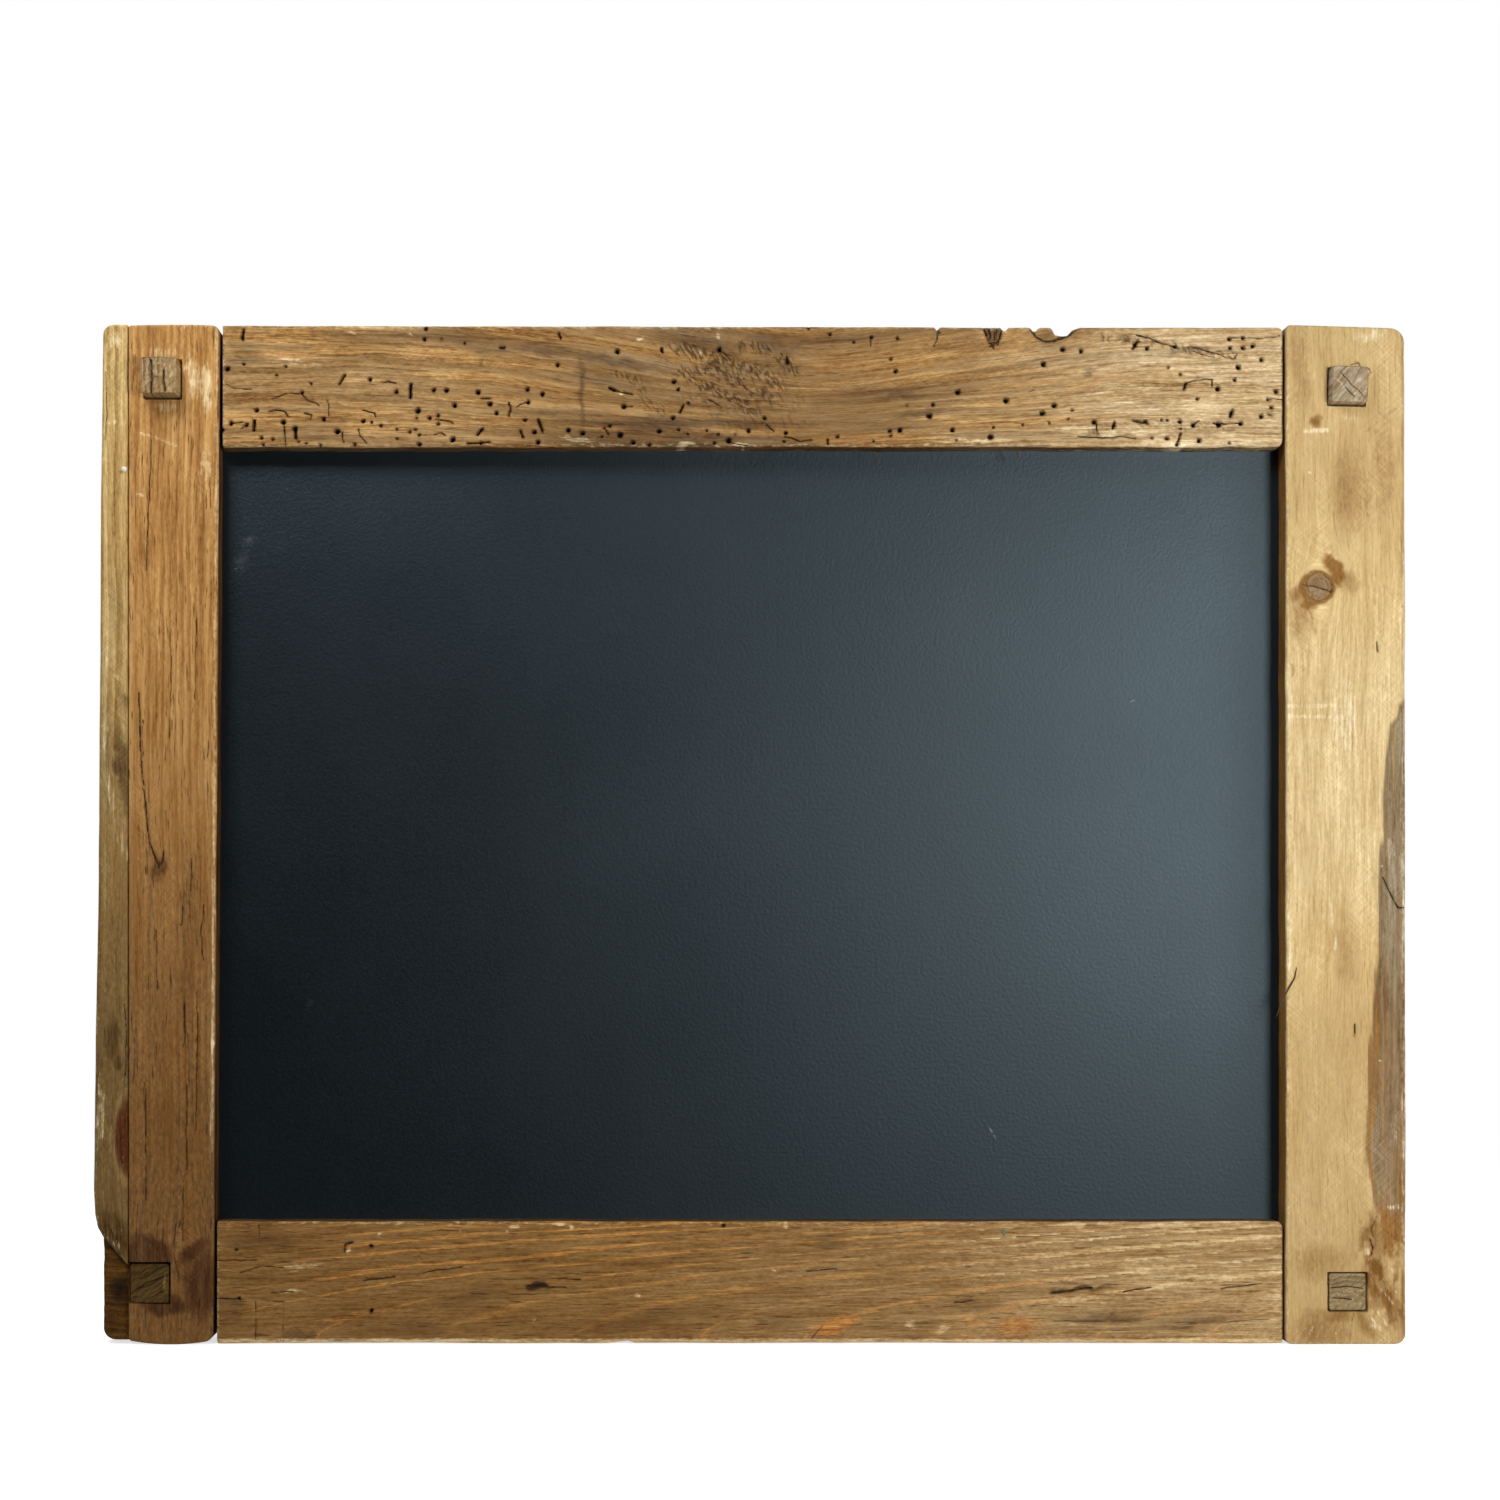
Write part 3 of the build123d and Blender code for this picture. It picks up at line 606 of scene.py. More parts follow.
ring = np.hypot(x + bend + 520, y + 60) / 3.3
marks = plain_marks(z, x + bend, y, ring, arris_gap, 1.5)
# Stains, and painted shade that darkens the board towards its foot.
marks["dark"] = patches(x, z, LEFT_STAINS, STILE_FACE) + 0.68 * eased((455 - z) / 380)
from_inner = LEFT_INNER_FOOT + (LEFT_INNER_TOP - LEFT_INNER_FOOT) * z / TOP_Z - x
# Painted shade on the inner side, which faces the panel.
shaded_panel_side(marks, face, from_inner)
marks["wear"] *= eased((x - SEAM_X) / 3) * (0.5 + 0.5 * eased((z - 50) / 140))
marks["pale"] = patches(x, z, LEFT_SCRAPES, STILE_FACE)
marks["pale"] = np.maximum(marks["pale"], strokes(x, z, LEFT_SCRATCHES, STILE_FACE))
marks["pale"] += 0.55 * np.exp(-((from_inner - 1.3) / 0.9) ** 2) * eased((z - 75) / 30)
marks["pale"] *= face
marks["near"], marks["split"] = splits(x, z, LEFT_CRACKS, STILE_FACE)
y += face * (0.5 * (lumps(z / 70, x / 16, 7) - 0.35) + 0.14 * (lumps(z / 8, x / 1.6, 8) - 0.5))
y += face * 0.7 * eased(1.6 - marks["near"])
for peg in LEFT_PEGS:
    y = let_in(x, y, z, face, marks, *peg)
bow = ((x - LEFT_CENTRE) / LEFT_HALF) ** 2
z += 2.2 * bow * eased(1 - z / 30) - 0.4 * eased((z - 470) / 27) * bow
left_wood = old_wood(
    "red_brown_board",
    {"Early wood": (195, 145, 82), "Late wood": (138, 86, 42), "Worn and lit wood": (234, 203, 150),
     "Stain and shade": (86, 54, 24), "Heartwood": (150, 92, 50)},
    late_share=0.4, figure=0.42, fibre=1.0, streak=1.5, pores=0.85, scuff=0.7)
finish_board("left_stile_board_worn", "left_stile_board", left_wood, x, y, z, marks)


# Left stile, edge strip: the sapwood edge of the same trunk, greenish tan, sawn off and glued back on.
# A darker figure with a pale edge runs down its middle. It swells where a branch began low down, and its
# foot is cut to a slant.
STRIP_EDGE = [
    (39, -303.1), (46, -309.6), (52.6, -315.4), (57, -317.9), (63.3, -319.2), (75.5, -319.9),
    (119.3, -319.4), (216.6, -317.8), (314, -317.0), (411, -316.5), (TOP_Z, -315.2),
]
STRIP_FOOT = 39.0
STRIP_OUTERMOST = -319.95
STRIP_CORNER = 5.0
STRIP_SEAM_CORNER = 0.8
STRIP_SEAM_ARRIS = 0.55
STRIP_END_GAP = 4.0
STRIP_CRACKS = [
    ([(125, 1005), (126, 1040), (125.5, 1075)], 0.3), ([(106, 372), (107, 410), (105, 440)], 0.22),
    ([(109, 1225), (116, 1245), (124, 1262)], 0.22), ([(104, 1225), (111, 1246)], 0.2),
]
STRIP_STAINS = [
    (118, 610, 7, 60, 0, 0.25), (112, 1234, 20, 30, 30, 0.55), (108, 750, 4, 90, 0, 0.2),
    (120, 470, 5, 4, 0, 0.6), (119, 1062, 5, 9, 0, 0.6), (112, 1040, 9, 26, 0, 0.35),
    (122, 766, 10, 58, 6, 0.6), (124, 700, 8, 12, 0, 0.4),
]
STRIP_SCRAPES = [
    (116, 340, 11, 12, 0, 0.7), (110, 424, 9, 4, 15, 0.6), (105, 700, 2.5, 160, 0, 0.35),
    (100, 1110, 5, 60, 0, 0.45), (115, 1246, 3.5, 20, 24, 0.3),
]
STRIP_FLAME = [
    ([(104, 690), (105, 770), (112, 806), (126, 858)], 2.0, 0.3),
    ([(118, 676), (124, 684), (127, 694)], 1.6, 0.3),
]

along = stations(STRIP_FOOT, TOP_Z, ROW_STEP)
edge_z, edge_x = zip(*STRIP_EDGE)
outer = np.interp(along, edge_z, edge_x) + 0.35 * (lumps(along / 30, along * 0, 11) - 0.4)
outer = np.maximum(outer, STRIP_OUTERMOST) + rounded(TOP_Z - along, STRIP_CORNER)
inner = SEAM_X - SEAM_GAP - rounded(TOP_Z - along, STRIP_SEAM_CORNER)
soft_arris = (1.8 + 1.2 * lumps(along / 40, along * 0, 12))[:, None]
rows = sawn_board(along, outer, inner, STILE_FACE, STILE_BACK, (soft_arris, STRIP_SEAM_ARRIS), FACE_STEP)
ends = [(STRIP_FOOT, -303.0, 0.0), (TOP_Z, -308.0, 0.0)]
z, x, y, face, arris_gap = closed_ends(rows, ends, STRIP_END_GAP)
branch_x, branch_z = seen(133, 1146, STILE_FACE)
branch = np.maximum(np.hypot(x - branch_x, (z - branch_z) / 4.2), 0.5)
bend = 3.4 * (lumps(z / 120, x / 40, 13, 2) - 0.5) + 1.2 * (lumps(z / 36, x / 10, 14) - 0.5)
bend += np.clip(26 / branch, 0, 6) * eased((60 - np.abs(z - branch_z)) / 60)
ring = np.hypot(x + bend + 250, y + 10) / 4.4
marks = plain_marks(z, x + bend, y, ring, arris_gap, 1.6)
# Stains, and painted shade that darkens the strip towards its foot; less of it where the figure is.
marks["dark"] = patches(x, z, STRIP_STAINS, STILE_FACE) + 0.8 * eased((490 - z) / 380)
marks["heart"] = 1.7 * patch(x, z, 131, 1138, 22, 54, STILE_FACE)
marks["dark"] *= 1 - 0.75 * np.clip(marks["heart"], 0, 1)
marks["wear"] *= eased((SEAM_X - x) / 3)
flame = strokes(*shaken(x, z, 2.5, 14.0), STRIP_FLAME, STILE_FACE)
marks["pale"] = face * np.maximum(patches(x, z, STRIP_SCRAPES, STILE_FACE), flame)
marks["near"], marks["split"] = splits(x, z, STRIP_CRACKS, STILE_FACE)
y += face * (0.5 * (lumps(z / 60, x / 9, 15) - 0.35) + 0.12 * (lumps(z / 8, x / 1.6, 16) - 0.5))
strip_wood = old_wood(
    "green_tan_strip",
    {"Early wood": (213, 178, 114), "Late wood": (166, 130, 72), "Worn and lit wood": (236, 212, 158),
     "Stain and shade": (102, 76, 39), "Heartwood": (96, 50, 19)},
    late_share=0.5, figure=0.8, fibre=1.1, streak=1.2, pores=0.45, scuff=0.8)
finish_board("left_stile_edge_strip_worn", "left_stile_edge_strip", strip_wood,
             x, y, z, marks)


# White paint drop on the edge strip: a spatter from a brush that dried as a small round bead.
# It stands on the wood as a low dome, chalky and a little uneven in its white.
SPECK_POINTS = 24
SPECK_RINGS = 7
SPECK_SINK = 0.25
SPECK_ROOT = 0.4
SPECK_MOTTLE = 1500.0
SPECK_ROUGHNESS = 0.45


def paint_speck(name, pixel, depth, half_wide, half_high, thick, dull, bright):
    """A dried speck of paint: an oval dome, half an ellipsoid whose rim is sunk in the wood, with a chalky
    mottle between two hues."""
    turn = np.linspace(0, 2 * math.pi, SPECK_POINTS, endpoint=False)[None]
    rise = np.linspace(0, math.pi / 2, SPECK_RINGS)[:, None]
    middle_x, middle_z = seen(*pixel, depth)
    flat = np.concatenate([rise[:1] * 0, np.cos(rise)])
    high = np.concatenate([rise[:1] * 0 - SPECK_ROOT, np.sin(rise)])
    x = middle_x + half_wide * flat * np.cos(turn)
    z = middle_z + half_high * flat * np.sin(turn)
    speck = skin(name, x, depth + SPECK_SINK - thick * high + 0 * turn, z, {})
    speck_paint, tree, shader = new_material(name + "_dried")
    place = put(tree, "TexCoord", {})["Object"]
    chalk = put(tree, "TexNoise", {"Vector": place, "Scale": SPECK_MOTTLE, "Detail": 2.0})[0]
    tone = blend(tree, chalk, colour(*dull), colour(*bright))
    tree.links.new(tone, shader.inputs["Base Color"])
    shader.inputs["Roughness"].default_value = SPECK_ROUGHNESS
    speck.data.materials.append(speck_paint)
    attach(speck, "board")


paint_speck("white_paint_drop", (124, 469), STILE_FACE, half_wide=1.35, half_high=1.35,
            thick=0.85, dull=(228, 224, 216), bright=(250, 249, 246))


# Left stile, foot block: a scrap let in below the slanted foot of the strip, with its grain crosswise.
# It is coloured dark, a little set back, and its outer foot corner is rounded off.
BLOCK_FACE = -13.0
BLOCK_FOOT = 2.0
BLOCK_OUTER = -315.4
BLOCK_TOP_OUTER = 52.2
BLOCK_TOP_SEAM = 38.8
BLOCK_CORNER = 6.0
BLOCK_SEAM_GAP = 0.2
BLOCK_TIP = 0.8
BLOCK_ARRISES = (1.6, 0.6)
BLOCK_ROW_STEP = 0.7
BLOCK_FACE_STEP = 0.6
BLOCK_END_GAP = 4.0
BLOCK_STAINS = [
    (121, 1290, 13, 20, 0, 1.0), (120, 1258, 12, 16, 0, 0.5), (112, 1320, 12, 14, 0, 0.4),
]

along = stations(BLOCK_FOOT, BLOCK_TOP_OUTER, BLOCK_ROW_STEP)
outer = BLOCK_OUTER + rounded(along - BLOCK_FOOT, BLOCK_CORNER)
outer += 0.4 * (lumps(along / 7, along * 0, 21) - 0.2)
slant = np.clip((along - BLOCK_TOP_SEAM) / (BLOCK_TOP_OUTER - BLOCK_TOP_SEAM), 0, 1)
inner = SEAM_X - BLOCK_SEAM_GAP + slant * (BLOCK_OUTER + BLOCK_TIP - SEAM_X)
rows = sawn_board(along, outer, inner, BLOCK_FACE, STILE_BACK, BLOCK_ARRISES, BLOCK_FACE_STEP)
ends = [(BLOCK_FOOT, -307.0, 0.0), (BLOCK_TOP_OUTER, -315.0, 0.0)]
z, x, y, face, arris_gap = closed_ends(rows, ends, BLOCK_END_GAP)
bend = 2.0 * (lumps(x / 9, z / 9, 22) - 0.5)
marks = plain_marks(x * 2.2, z + bend, y, (z + bend) / 3.1, arris_gap, 0.7)
marks["dark"] = patches(x, z, BLOCK_STAINS, BLOCK_FACE)
y += face * (0.9 * (lumps(x / 7, z / 2.4, 23) - 0.35) + 0.3 * (lumps(x / 4, z / 0.9, 24) - 0.5))
block_wood = old_wood(
    "dark_crosswise_block",
    {"Early wood": (100, 66, 15), "Late wood": (59, 36, 7), "Worn and lit wood": (138, 102, 49),
     "Stain and shade": (37, 21, 6), "Heartwood": (90, 60, 30)},
    late_share=0.6, figure=0.9, fibre=1.2, streak=1.0, pores=0.6, scuff=0.4)
finish_board("left_stile_foot_block_worn", "left_stile_foot_block", block_wood,
             x, y, z, marks)


# Right stile: one wide golden board with a live knot in a brown collar above the middle, and a grey band of
# heartwood along its outer edge. Its corners are rounded by long use and its outer foot is chipped.
# Mortised and rebated like the left one.
RIGHT_OUTER_FOOT = 319.9
RIGHT_OUTER_TOP = 319.3
RIGHT_INNER = 261.0
RIGHT_FOOT = 0.2
RIGHT_WIDTH = 58
RIGHT_MIDDLE = (292.0, -6.0)
RIGHT_REBATE = 270.0
RIGHT_TOP_FALL = 1.9
RIGHT_PALE_EDGE = 315.5
RIGHT_ROW_STEP = 0.78
OUTER_CORNER_TOP, OUTER_CORNER_FOOT = 7.0, 5.0
INNER_CORNER_TOP, INNER_CORNER_FOOT = 2.5, 3.2
KNOT = (1319, 586.5)
KNOT_RADIUS = 6.6
KNOT_COLLAR = 8.5
HEART_EDGE = [
    (690, 1410), (701, 1403), (724, 1391), (760, 1385), (793, 1381.5), (834, 1383), (882, 1377.5),
    (940, 1377), (997, 1375.5), (1080, 1369), (1161, 1366), (1190, 1372), (1212, 1379), (1234, 1389),
    (1248, 1410),
]
RIGHT_CRACKS = [
    ([(1384, 878), (1390, 893), (1398, 908), (1408, 908)], 0.34),
    ([(1303, 584.5), (1316, 586.5), (1331, 592)], 0.22), ([(1377, 642), (1377.5, 652)], 0.26),
    ([(1323, 574), (1329, 578), (1333, 586), (1331.5, 594)], 0.13),
    ([(1310, 577), (1306, 584), (1309, 594)], 0.12), ([(1354, 1311), (1352, 1326), (1349, 1341)], 0.1),
    ([(1369, 1238), (1374, 1248), (1371, 1256)], 0.26),
    ([(1377, 1216), (1372, 1228), (1374, 1236)], 0.14), ([(1355, 1025), (1354, 1036)], 0.26),
    ([(1352, 363), (1359, 361), (1362, 366)], 0.18),
    ([(1363, 372), (1367, 375), (1371.5, 370), (1369, 365.5)], 0.16),
]
RIGHT_SHADES = [
    ([(1366, 432), (1380, 420), (1397, 407)], 0.5, 0.2),
    ([(1360, 429), (1374, 417), (1389, 406)], 0.4, 0.14),
]
RIGHT_STAINS = [
    (1326, 560, 9, 8, 0, 0.8), (1332, 567, 16, 11, -40, 1.3), (1338, 576, 14, 10, -30, 1.05),
    (1347, 578, 16, 12, -30, 0.5), (1354, 585, 12, 10, -40, 0.4), (1308, 605, 14, 9, 20, 1.0),
    (1299, 596, 12, 14, 0, 0.8), (1301, 622, 15, 36, 0, 0.6), (1311, 616, 6, 26, 8, 0.5),
    (1318, 421, 7, 7, 0, 0.7), (1352, 490, 26, 60, 0, 0.35), (1300, 365, 14, 60, 0, 0.3),
    (1384, 470, 14, 70, 0, 0.3), (1384, 1236, 24, 34, 0, 0.55), (1376, 1276, 16, 24, 0, 0.5),
    (1392, 1300, 14, 40, 24, 0.45), (1318, 1332, 40, 26, 0, 0.4), (1366, 1322, 8, 26, 24, 0.4),
    (1336, 1316, 26, 12, 0, 0.5), (1290, 672, 4, 12, 0, 0.5), (1348, 940, 22, 60, 0, 0.42),
    (1320, 1262, 40, 22, 0, 0.25), (1310, 860, 14, 60, 0, 0.25),
]
RIGHT_SCRAPES = [
    (1367, 334, 28, 9, 5, 0.6), (1366, 369, 5, 4, 0, 1.0), (1350, 418, 16, 9, 0, 0.35),
    (1309, 470, 2.5, 3, 0, 0.9), (1345, 720, 22, 60, 0, 0.5), (1290, 940, 5, 60, 0, 0.4),
    (1370, 1252, 5, 6, 0, 0.8), (1402, 610, 3, 110, 0, 0.5), (1382, 865, 2.4, 2.4, 0, 0.9),
    (1391, 848, 9, 26, 0, 0.32), (1394, 1130, 7, 30, 0, 0.25), (1382, 1062, 3, 2, 0, 0.8),
    (1378, 1325, 5, 6, 30, 0.5), (1396, 1206, 9, 4, 0, 0.5),
]
RIGHT_SCRATCHES = [
    ([(1305, 431), (1327, 430)], 1.3, 0.75), ([(1287, 706), (1322, 706), (1344, 705)], 1.2, 0.5),
    ([(1287, 716), (1330, 717)], 1.2, 0.6), ([(1336, 938), (1335, 949)], 0.5, 0.8),
    ([(1330, 895), (1333, 930)], 0.7, 0.4), ([(1298, 1338), (1304, 1328)], 0.6, 0.36),
    ([(1307, 1338), (1313, 1327)], 0.6, 0.36), ([(1316, 1338), (1322, 1327)], 0.6, 0.34),
    ([(1325, 1337), (1332, 1327)], 0.6, 0.32), ([(1334, 1336), (1342, 1327)], 0.6, 0.3),
    ([(1372, 1318), (1380, 1330)], 0.7, 0.5), ([(1378, 1312), (1388, 1326)], 0.7, 0.4),
    ([(1382, 1290), (1394, 1304)], 0.7, 0.35),
]
RIGHT_PEGS = [(290.6, 466.6, 8.7, -2), (291.1, 25.8, 9.0, 0)]

along = stations(RIGHT_FOOT, TOP_Z, RIGHT_ROW_STEP, (REBATE_LOW, REBATE_HIGH))
from_top, from_foot = TOP_Z - along, along - RIGHT_FOOT
outer = RIGHT_OUTER_FOOT + (RIGHT_OUTER_TOP - RIGHT_OUTER_FOOT) * along / TOP_Z
worn_in = 0.35 * lumps(along / 22, along * 0, 31)
outer -= rounded(from_top, OUTER_CORNER_TOP) + rounded(from_foot, OUTER_CORNER_FOOT) + worn_in
inner = RIGHT_INNER + rounded(from_top, INNER_CORNER_TOP) + rounded(from_foot, INNER_CORNER_FOOT)
inner += 0.6 * (lumps(along / 14, along * 0, 32) - 0.2)
cut = ((along > REBATE_LOW) & (along < REBATE_HIGH)).astype(float)[:, None]
outer_arris = (1.2 + 1.4 * lumps(along / 40, along * 0, 33))[:, None]
inner_arris = (0.7 + 1.0 * lumps(along / 16, along * 0, 34))[:, None]
rows = sawn_board(along, outer, inner, STILE_FACE, STILE_BACK, (outer_arris, inner_arris), FACE_STEP,
                  (BED, RIGHT_REBATE, cut))
ends = [(place, *RIGHT_MIDDLE) for place in (RIGHT_FOOT, TOP_Z)]
z, x, y, face, arris_gap = closed_ends(rows, ends, STILE_END_GAP)
knot_x, knot_z = seen(*KNOT, STILE_FACE)
knot_gap = np.maximum(np.hypot(x - knot_x, (z - knot_z) * 0.94), 0.2)
part = 1 - np.clip(KNOT_RADIUS / np.hypot(x - knot_x, (z - knot_z) * 0.55), 0, 1) ** 2
bend = 5.0 * (lumps(z / 150, x / 70, 35, 2) - 0.5) + 2.2 * (lumps(z / 42, x / 15, 36) - 0.5)
flow = (x + bend - knot_x) * part + knot_x
knot_rings = knot_gap / 1.9 + 0.6 * lumps(x / 3, z / 3, 37)
ring = np.where(knot_gap < KNOT_RADIUS, knot_rings, np.hypot(flow - 700, y - 50) / 3.0)
marks = plain_marks(z, flow, y, ring, arris_gap, 1.3)
marks["grain"][..., 0] = np.where(knot_gap < KNOT_RADIUS, 6 * np.arctan2(z - knot_z, x - knot_x), z)
marks["grain"][..., 1] = np.where(knot_gap < KNOT_RADIUS, knot_gap, flow)
heart_py, heart_px = zip(*HEART_EDGE)
band_z = [seen(0, row, STILE_FACE)[1] for row in heart_py]
band_x = [seen(column, 0, STILE_FACE)[0] for column in heart_px]
boundary = np.interp(-z, [-value for value in band_z], band_x)
inside = x - boundary + 3.0 * (lumps(z / 24, x / 3, 38) - 0.5) + 4.0 * (lumps(z / 60, x / 1.1, 46) - 0.5)
marks["heart"] = eased(inside / 3.2 + 0.5) * (1.05 + 0.7 * (lumps(z / 60, x / 2.0, 43) - 0.5))
marks["heart"] *= 1 - 0.5 * eased((90 - z) / 30) * lumps(x / 5, z / 5, 45)
knot_edge = knot_gap + 1.1 * (lumps(x / 2.4, z / 2.4, 50) - 0.5)
knot_rim = np.exp(-((knot_edge - KNOT_RADIUS + 1.0) / 1.0) ** 2)
in_knot = eased((KNOT_RADIUS - knot_edge) / 0.6 + 0.5)
marks["heart"] *= 1 - 0.22 * eased((z - 250) / 60)
marks["heart"] = np.maximum(marks["heart"], 1.2 * in_knot)
marks["dark"] = np.maximum(patches(x, z, RIGHT_STAINS, STILE_FACE), strokes(x, z, RIGHT_SHADES, STILE_FACE))
# Painted shade: the board darkens towards its top and its foot.
marks["dark"] += 0.26 * eased((z - 325) / 90) + 0.33 * eased((210 - z) / 60)
from_outer = RIGHT_OUTER_FOOT + (RIGHT_OUTER_TOP - RIGHT_OUTER_FOOT) * z / TOP_Z - x
# Painted shade: a broken thin dark line where the outer arris turns away from the face.
arris_shade_line = face * np.exp(-((from_outer - 1.9) / 0.5) ** 2)
marks["dark"] += 0.6 * arris_shade_line * eased(4.0 * lumps(z / 26, x * 0, 49) - 1.4)
marks["dark"] += 0.42 * (marks["heart"] > 0.05) * np.exp(-((inside - 1.2) / 1.5) ** 2)
heart_lines = eased(4.0 * lumps(z / 70, x / 1.5, 44) - 2.0) + 0.08 * eased((180 - z) / 60)
marks["dark"] += 0.5 * eased(inside / 3) * heart_lines
collar_gap = np.hypot((x - knot_x + 0.8) * 0.93, z - knot_z + 0.3)
collar = eased((KNOT_COLLAR - collar_gap + knot_gap - knot_edge) / 1.8 + 0.5)
collar *= eased((knot_edge - KNOT_RADIUS) / 0.6 + 0.5)
marks["dark"] = np.maximum(marks["dark"], 1.05 * collar)
marks["dark"] = np.maximum(marks["dark"], (0.46 + 0.2 * knot_rim) * in_knot)
# Painted shade on the inner side, which faces the panel.
shaded_panel_side(marks, face, x - RIGHT_INNER)
scratched = strokes(x, z, RIGHT_SCRATCHES, STILE_FACE)
marks["pale"] = np.maximum(patches(x, z, RIGHT_SCRAPES, STILE_FACE), scratched)
marks["pale"] = face * (marks["pale"] + 0.34 * eased(inside / 3) * eased((x - RIGHT_PALE_EDGE) / 3))
chipped = patch(x, z, 1384, 1272, 34, 84, STILE_FACE, 8)
marks["dark"] += 0.5 * chipped * eased(3.4 * lumps(x / 2.4, z / 4.0, 47) - 1.4)
marks["pale"] += 0.32 * chipped * face * eased(4.6 * lumps(x / 1.7, z / 2.6, 48) - 2.7)
# Painted light: a lighter band across the middle of the board's height.
marks["painted_light"] = 0.18 * eased((z - 190) / 50) * eased((370 - z) / 50)
marks["near"], marks["split"] = splits(x, z, RIGHT_CRACKS, STILE_FACE)
waves = np.sin(0.9 * z + 0.7 * x + 3 * lumps(z / 14, x / 9, 39))
ripple = patch(x, z, 1345, 900, 34, 70, STILE_FACE) * waves
uneven = 0.6 * (lumps(z / 80, x / 20, 40) - 0.35) + 0.12 * (lumps(z / 8, x / 1.6, 41) - 0.5)
y += face * (uneven + 0.07 * ripple)
y += face * 0.8 * eased(1.6 - marks["near"])
y += face * 1.1 * chipped * lumps(x / 3.2, z / 3.2, 42)
for peg in RIGHT_PEGS:
    y = let_in(x, y, z, face, marks, *peg)
z -= eased((z - 440) / 57) * RIGHT_TOP_FALL * np.clip((x - RIGHT_INNER) / RIGHT_WIDTH, 0, 1)
right_wood = old_wood(
    "golden_board",
    {"Early wood": (215, 187, 132), "Late wood": (194, 156, 98), "Worn and lit wood": (240, 224, 186),
     "Stain and shade": (140, 98, 46), "Heartwood": (143, 126, 98)},
    late_share=0.5, figure=0.3, fibre=0.65, streak=0.6, pores=0.3, scuff=0.65)
finish_board("right_stile_worn", "right_stile", right_wood, x, y, z, marks)


# Splinters: slivers torn from the arrises that still hang on by one end, one long one on the right stile
# and two short ones under the top rail.
RAIL_ARRIS = -12.0
SPLINTER_POINTS = 25
SPLINTER_SIDES = 8
SPLINTER_LIFT = 0.6
SPLINTERS = [
    ("right_stile_splinter", "right_stile_wood",
     [(1297, 966), (1294.5, 978), (1288, 989), (1281, 1003), (1276, 1018)], STILE_FACE, 0.42),
    ("top_rail_splinter_left", "top_rail_wood", [(873, 451), (876, 455), (879, 457)], RAIL_ARRIS, 0.35),
    ("top_rail_splinter_right", "top_rail_wood", [(1015, 451), (1019, 455), (1017, 459)], RAIL_ARRIS, 0.4),
]

splinter_wood, tree, shader = new_material("torn_sliver")
place = put(tree, "TexCoord", {})["Object"]
speckle = put(tree, "TexNoise", {"Vector": place, "Scale": 700.0, "Detail": 3.0})[0]
tree.links.new(blend(tree, speckle, colour(58, 36, 22), colour(106, 70, 42)), shader.inputs["Base Color"])
shader.inputs["Roughness"].default_value = 0.7
for name, slot, pixels, depth, thick in SPLINTERS:
    spots = np.array([seen(*pixel, depth) for pixel in pixels])
    run = np.linspace(0, 1, SPLINTER_POINTS)
    path_x, path_z = (np.interp(run, np.linspace(0, 1, len(spots)), line) for line in spots.T)
    heading = np.arctan2(np.gradient(path_z), np.gradient(path_x))[:, None]
    girth = thick * np.sqrt(np.sin(math.pi * run))[:, None]
    turn = np.linspace(0, 2 * math.pi, SPLINTER_SIDES, endpoint=False)[None]
    x = path_x[:, None] - girth * np.cos(turn) * np.sin(heading)
    z = path_z[:, None] + girth * np.cos(turn) * np.cos(heading)
    y = depth - SPLINTER_LIFT * np.sin(math.pi * run)[:, None] + girth * np.sin(turn)
    splinter = skin(name, x, y, z, {})
    splinter.data.materials.append(splinter_wood)
    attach(splinter, "board")


# Top rail: a worm-eaten board whose grain sags in the middle round a lost branch, where it is torn in
# slanting bands of flakes. Beetles bored its lower edge and right end, and loose knots broke out of its
# upper edge. Tenons on both ends go into the stiles.
RAIL_FACE = -13.0
RAIL_BACK = 13.0
TOP_RAIL_TOP = 497.0
TOP_RAIL_FOOT = 437.4
TOP_SHOULDERS = (-257.2, 260.0)
TENON_REACH = 310.0
TENON_HALF = 4.5
TENON_GAP = 6.0
TOP_TENON = (449.4, 490.4)
TOP_TENON_MIDDLE = (470.0, 0.0)
SHOULDER_LEAN = 0.7
LEAN_FROM = -11.0
LEAN_RUN = 5.0
LEAN_REACH = 3.0


def tenoned_ends(rows, tenon, centre):
    """Ends a stack of section rings in tenons. Behind the face each shoulder leans out to meet the stile.
    There the ring closes in on the tenon's outline, each point moved to the nearest point of the tenon's
    box, runs on to the tenon's end and shrinks to a point."""
    along, across, depth, face, gap = rows
    to_end = np.minimum(along - along.min(), along.max() - along)
    lean = SHOULDER_LEAN * eased((depth - LEAN_FROM) / LEAN_RUN) * eased(1 - to_end / LEAN_REACH)
    along = along + np.where(along < 0, -lean, lean)
    rows = [along, across, depth, face, gap]
    ends = []
    for last, reach in ((0, -TENON_REACH), (-1, TENON_REACH)):
        edge = np.clip(across[last], *tenon)
        thick = np.clip(depth[last], -TENON_HALF, TENON_HALF)
        place = [along[last], edge * 0 + reach, edge * 0 + reach]
        side = [edge, edge, edge * 0 + centre[0]]
        deep = [thick, thick, thick * 0 + centre[1]]
        no_face, inner_gap = np.zeros((3, edge.size)), np.full((3, edge.size), TENON_GAP)
        stack = [np.array(place), np.array(side), np.array(deep), no_face, inner_gap]
        ends.append([part[::-1] if last == 0 else part for part in stack])
    return [np.concatenate([low, row, high]) for low, row, high in zip(ends[0], rows, ends[1])]


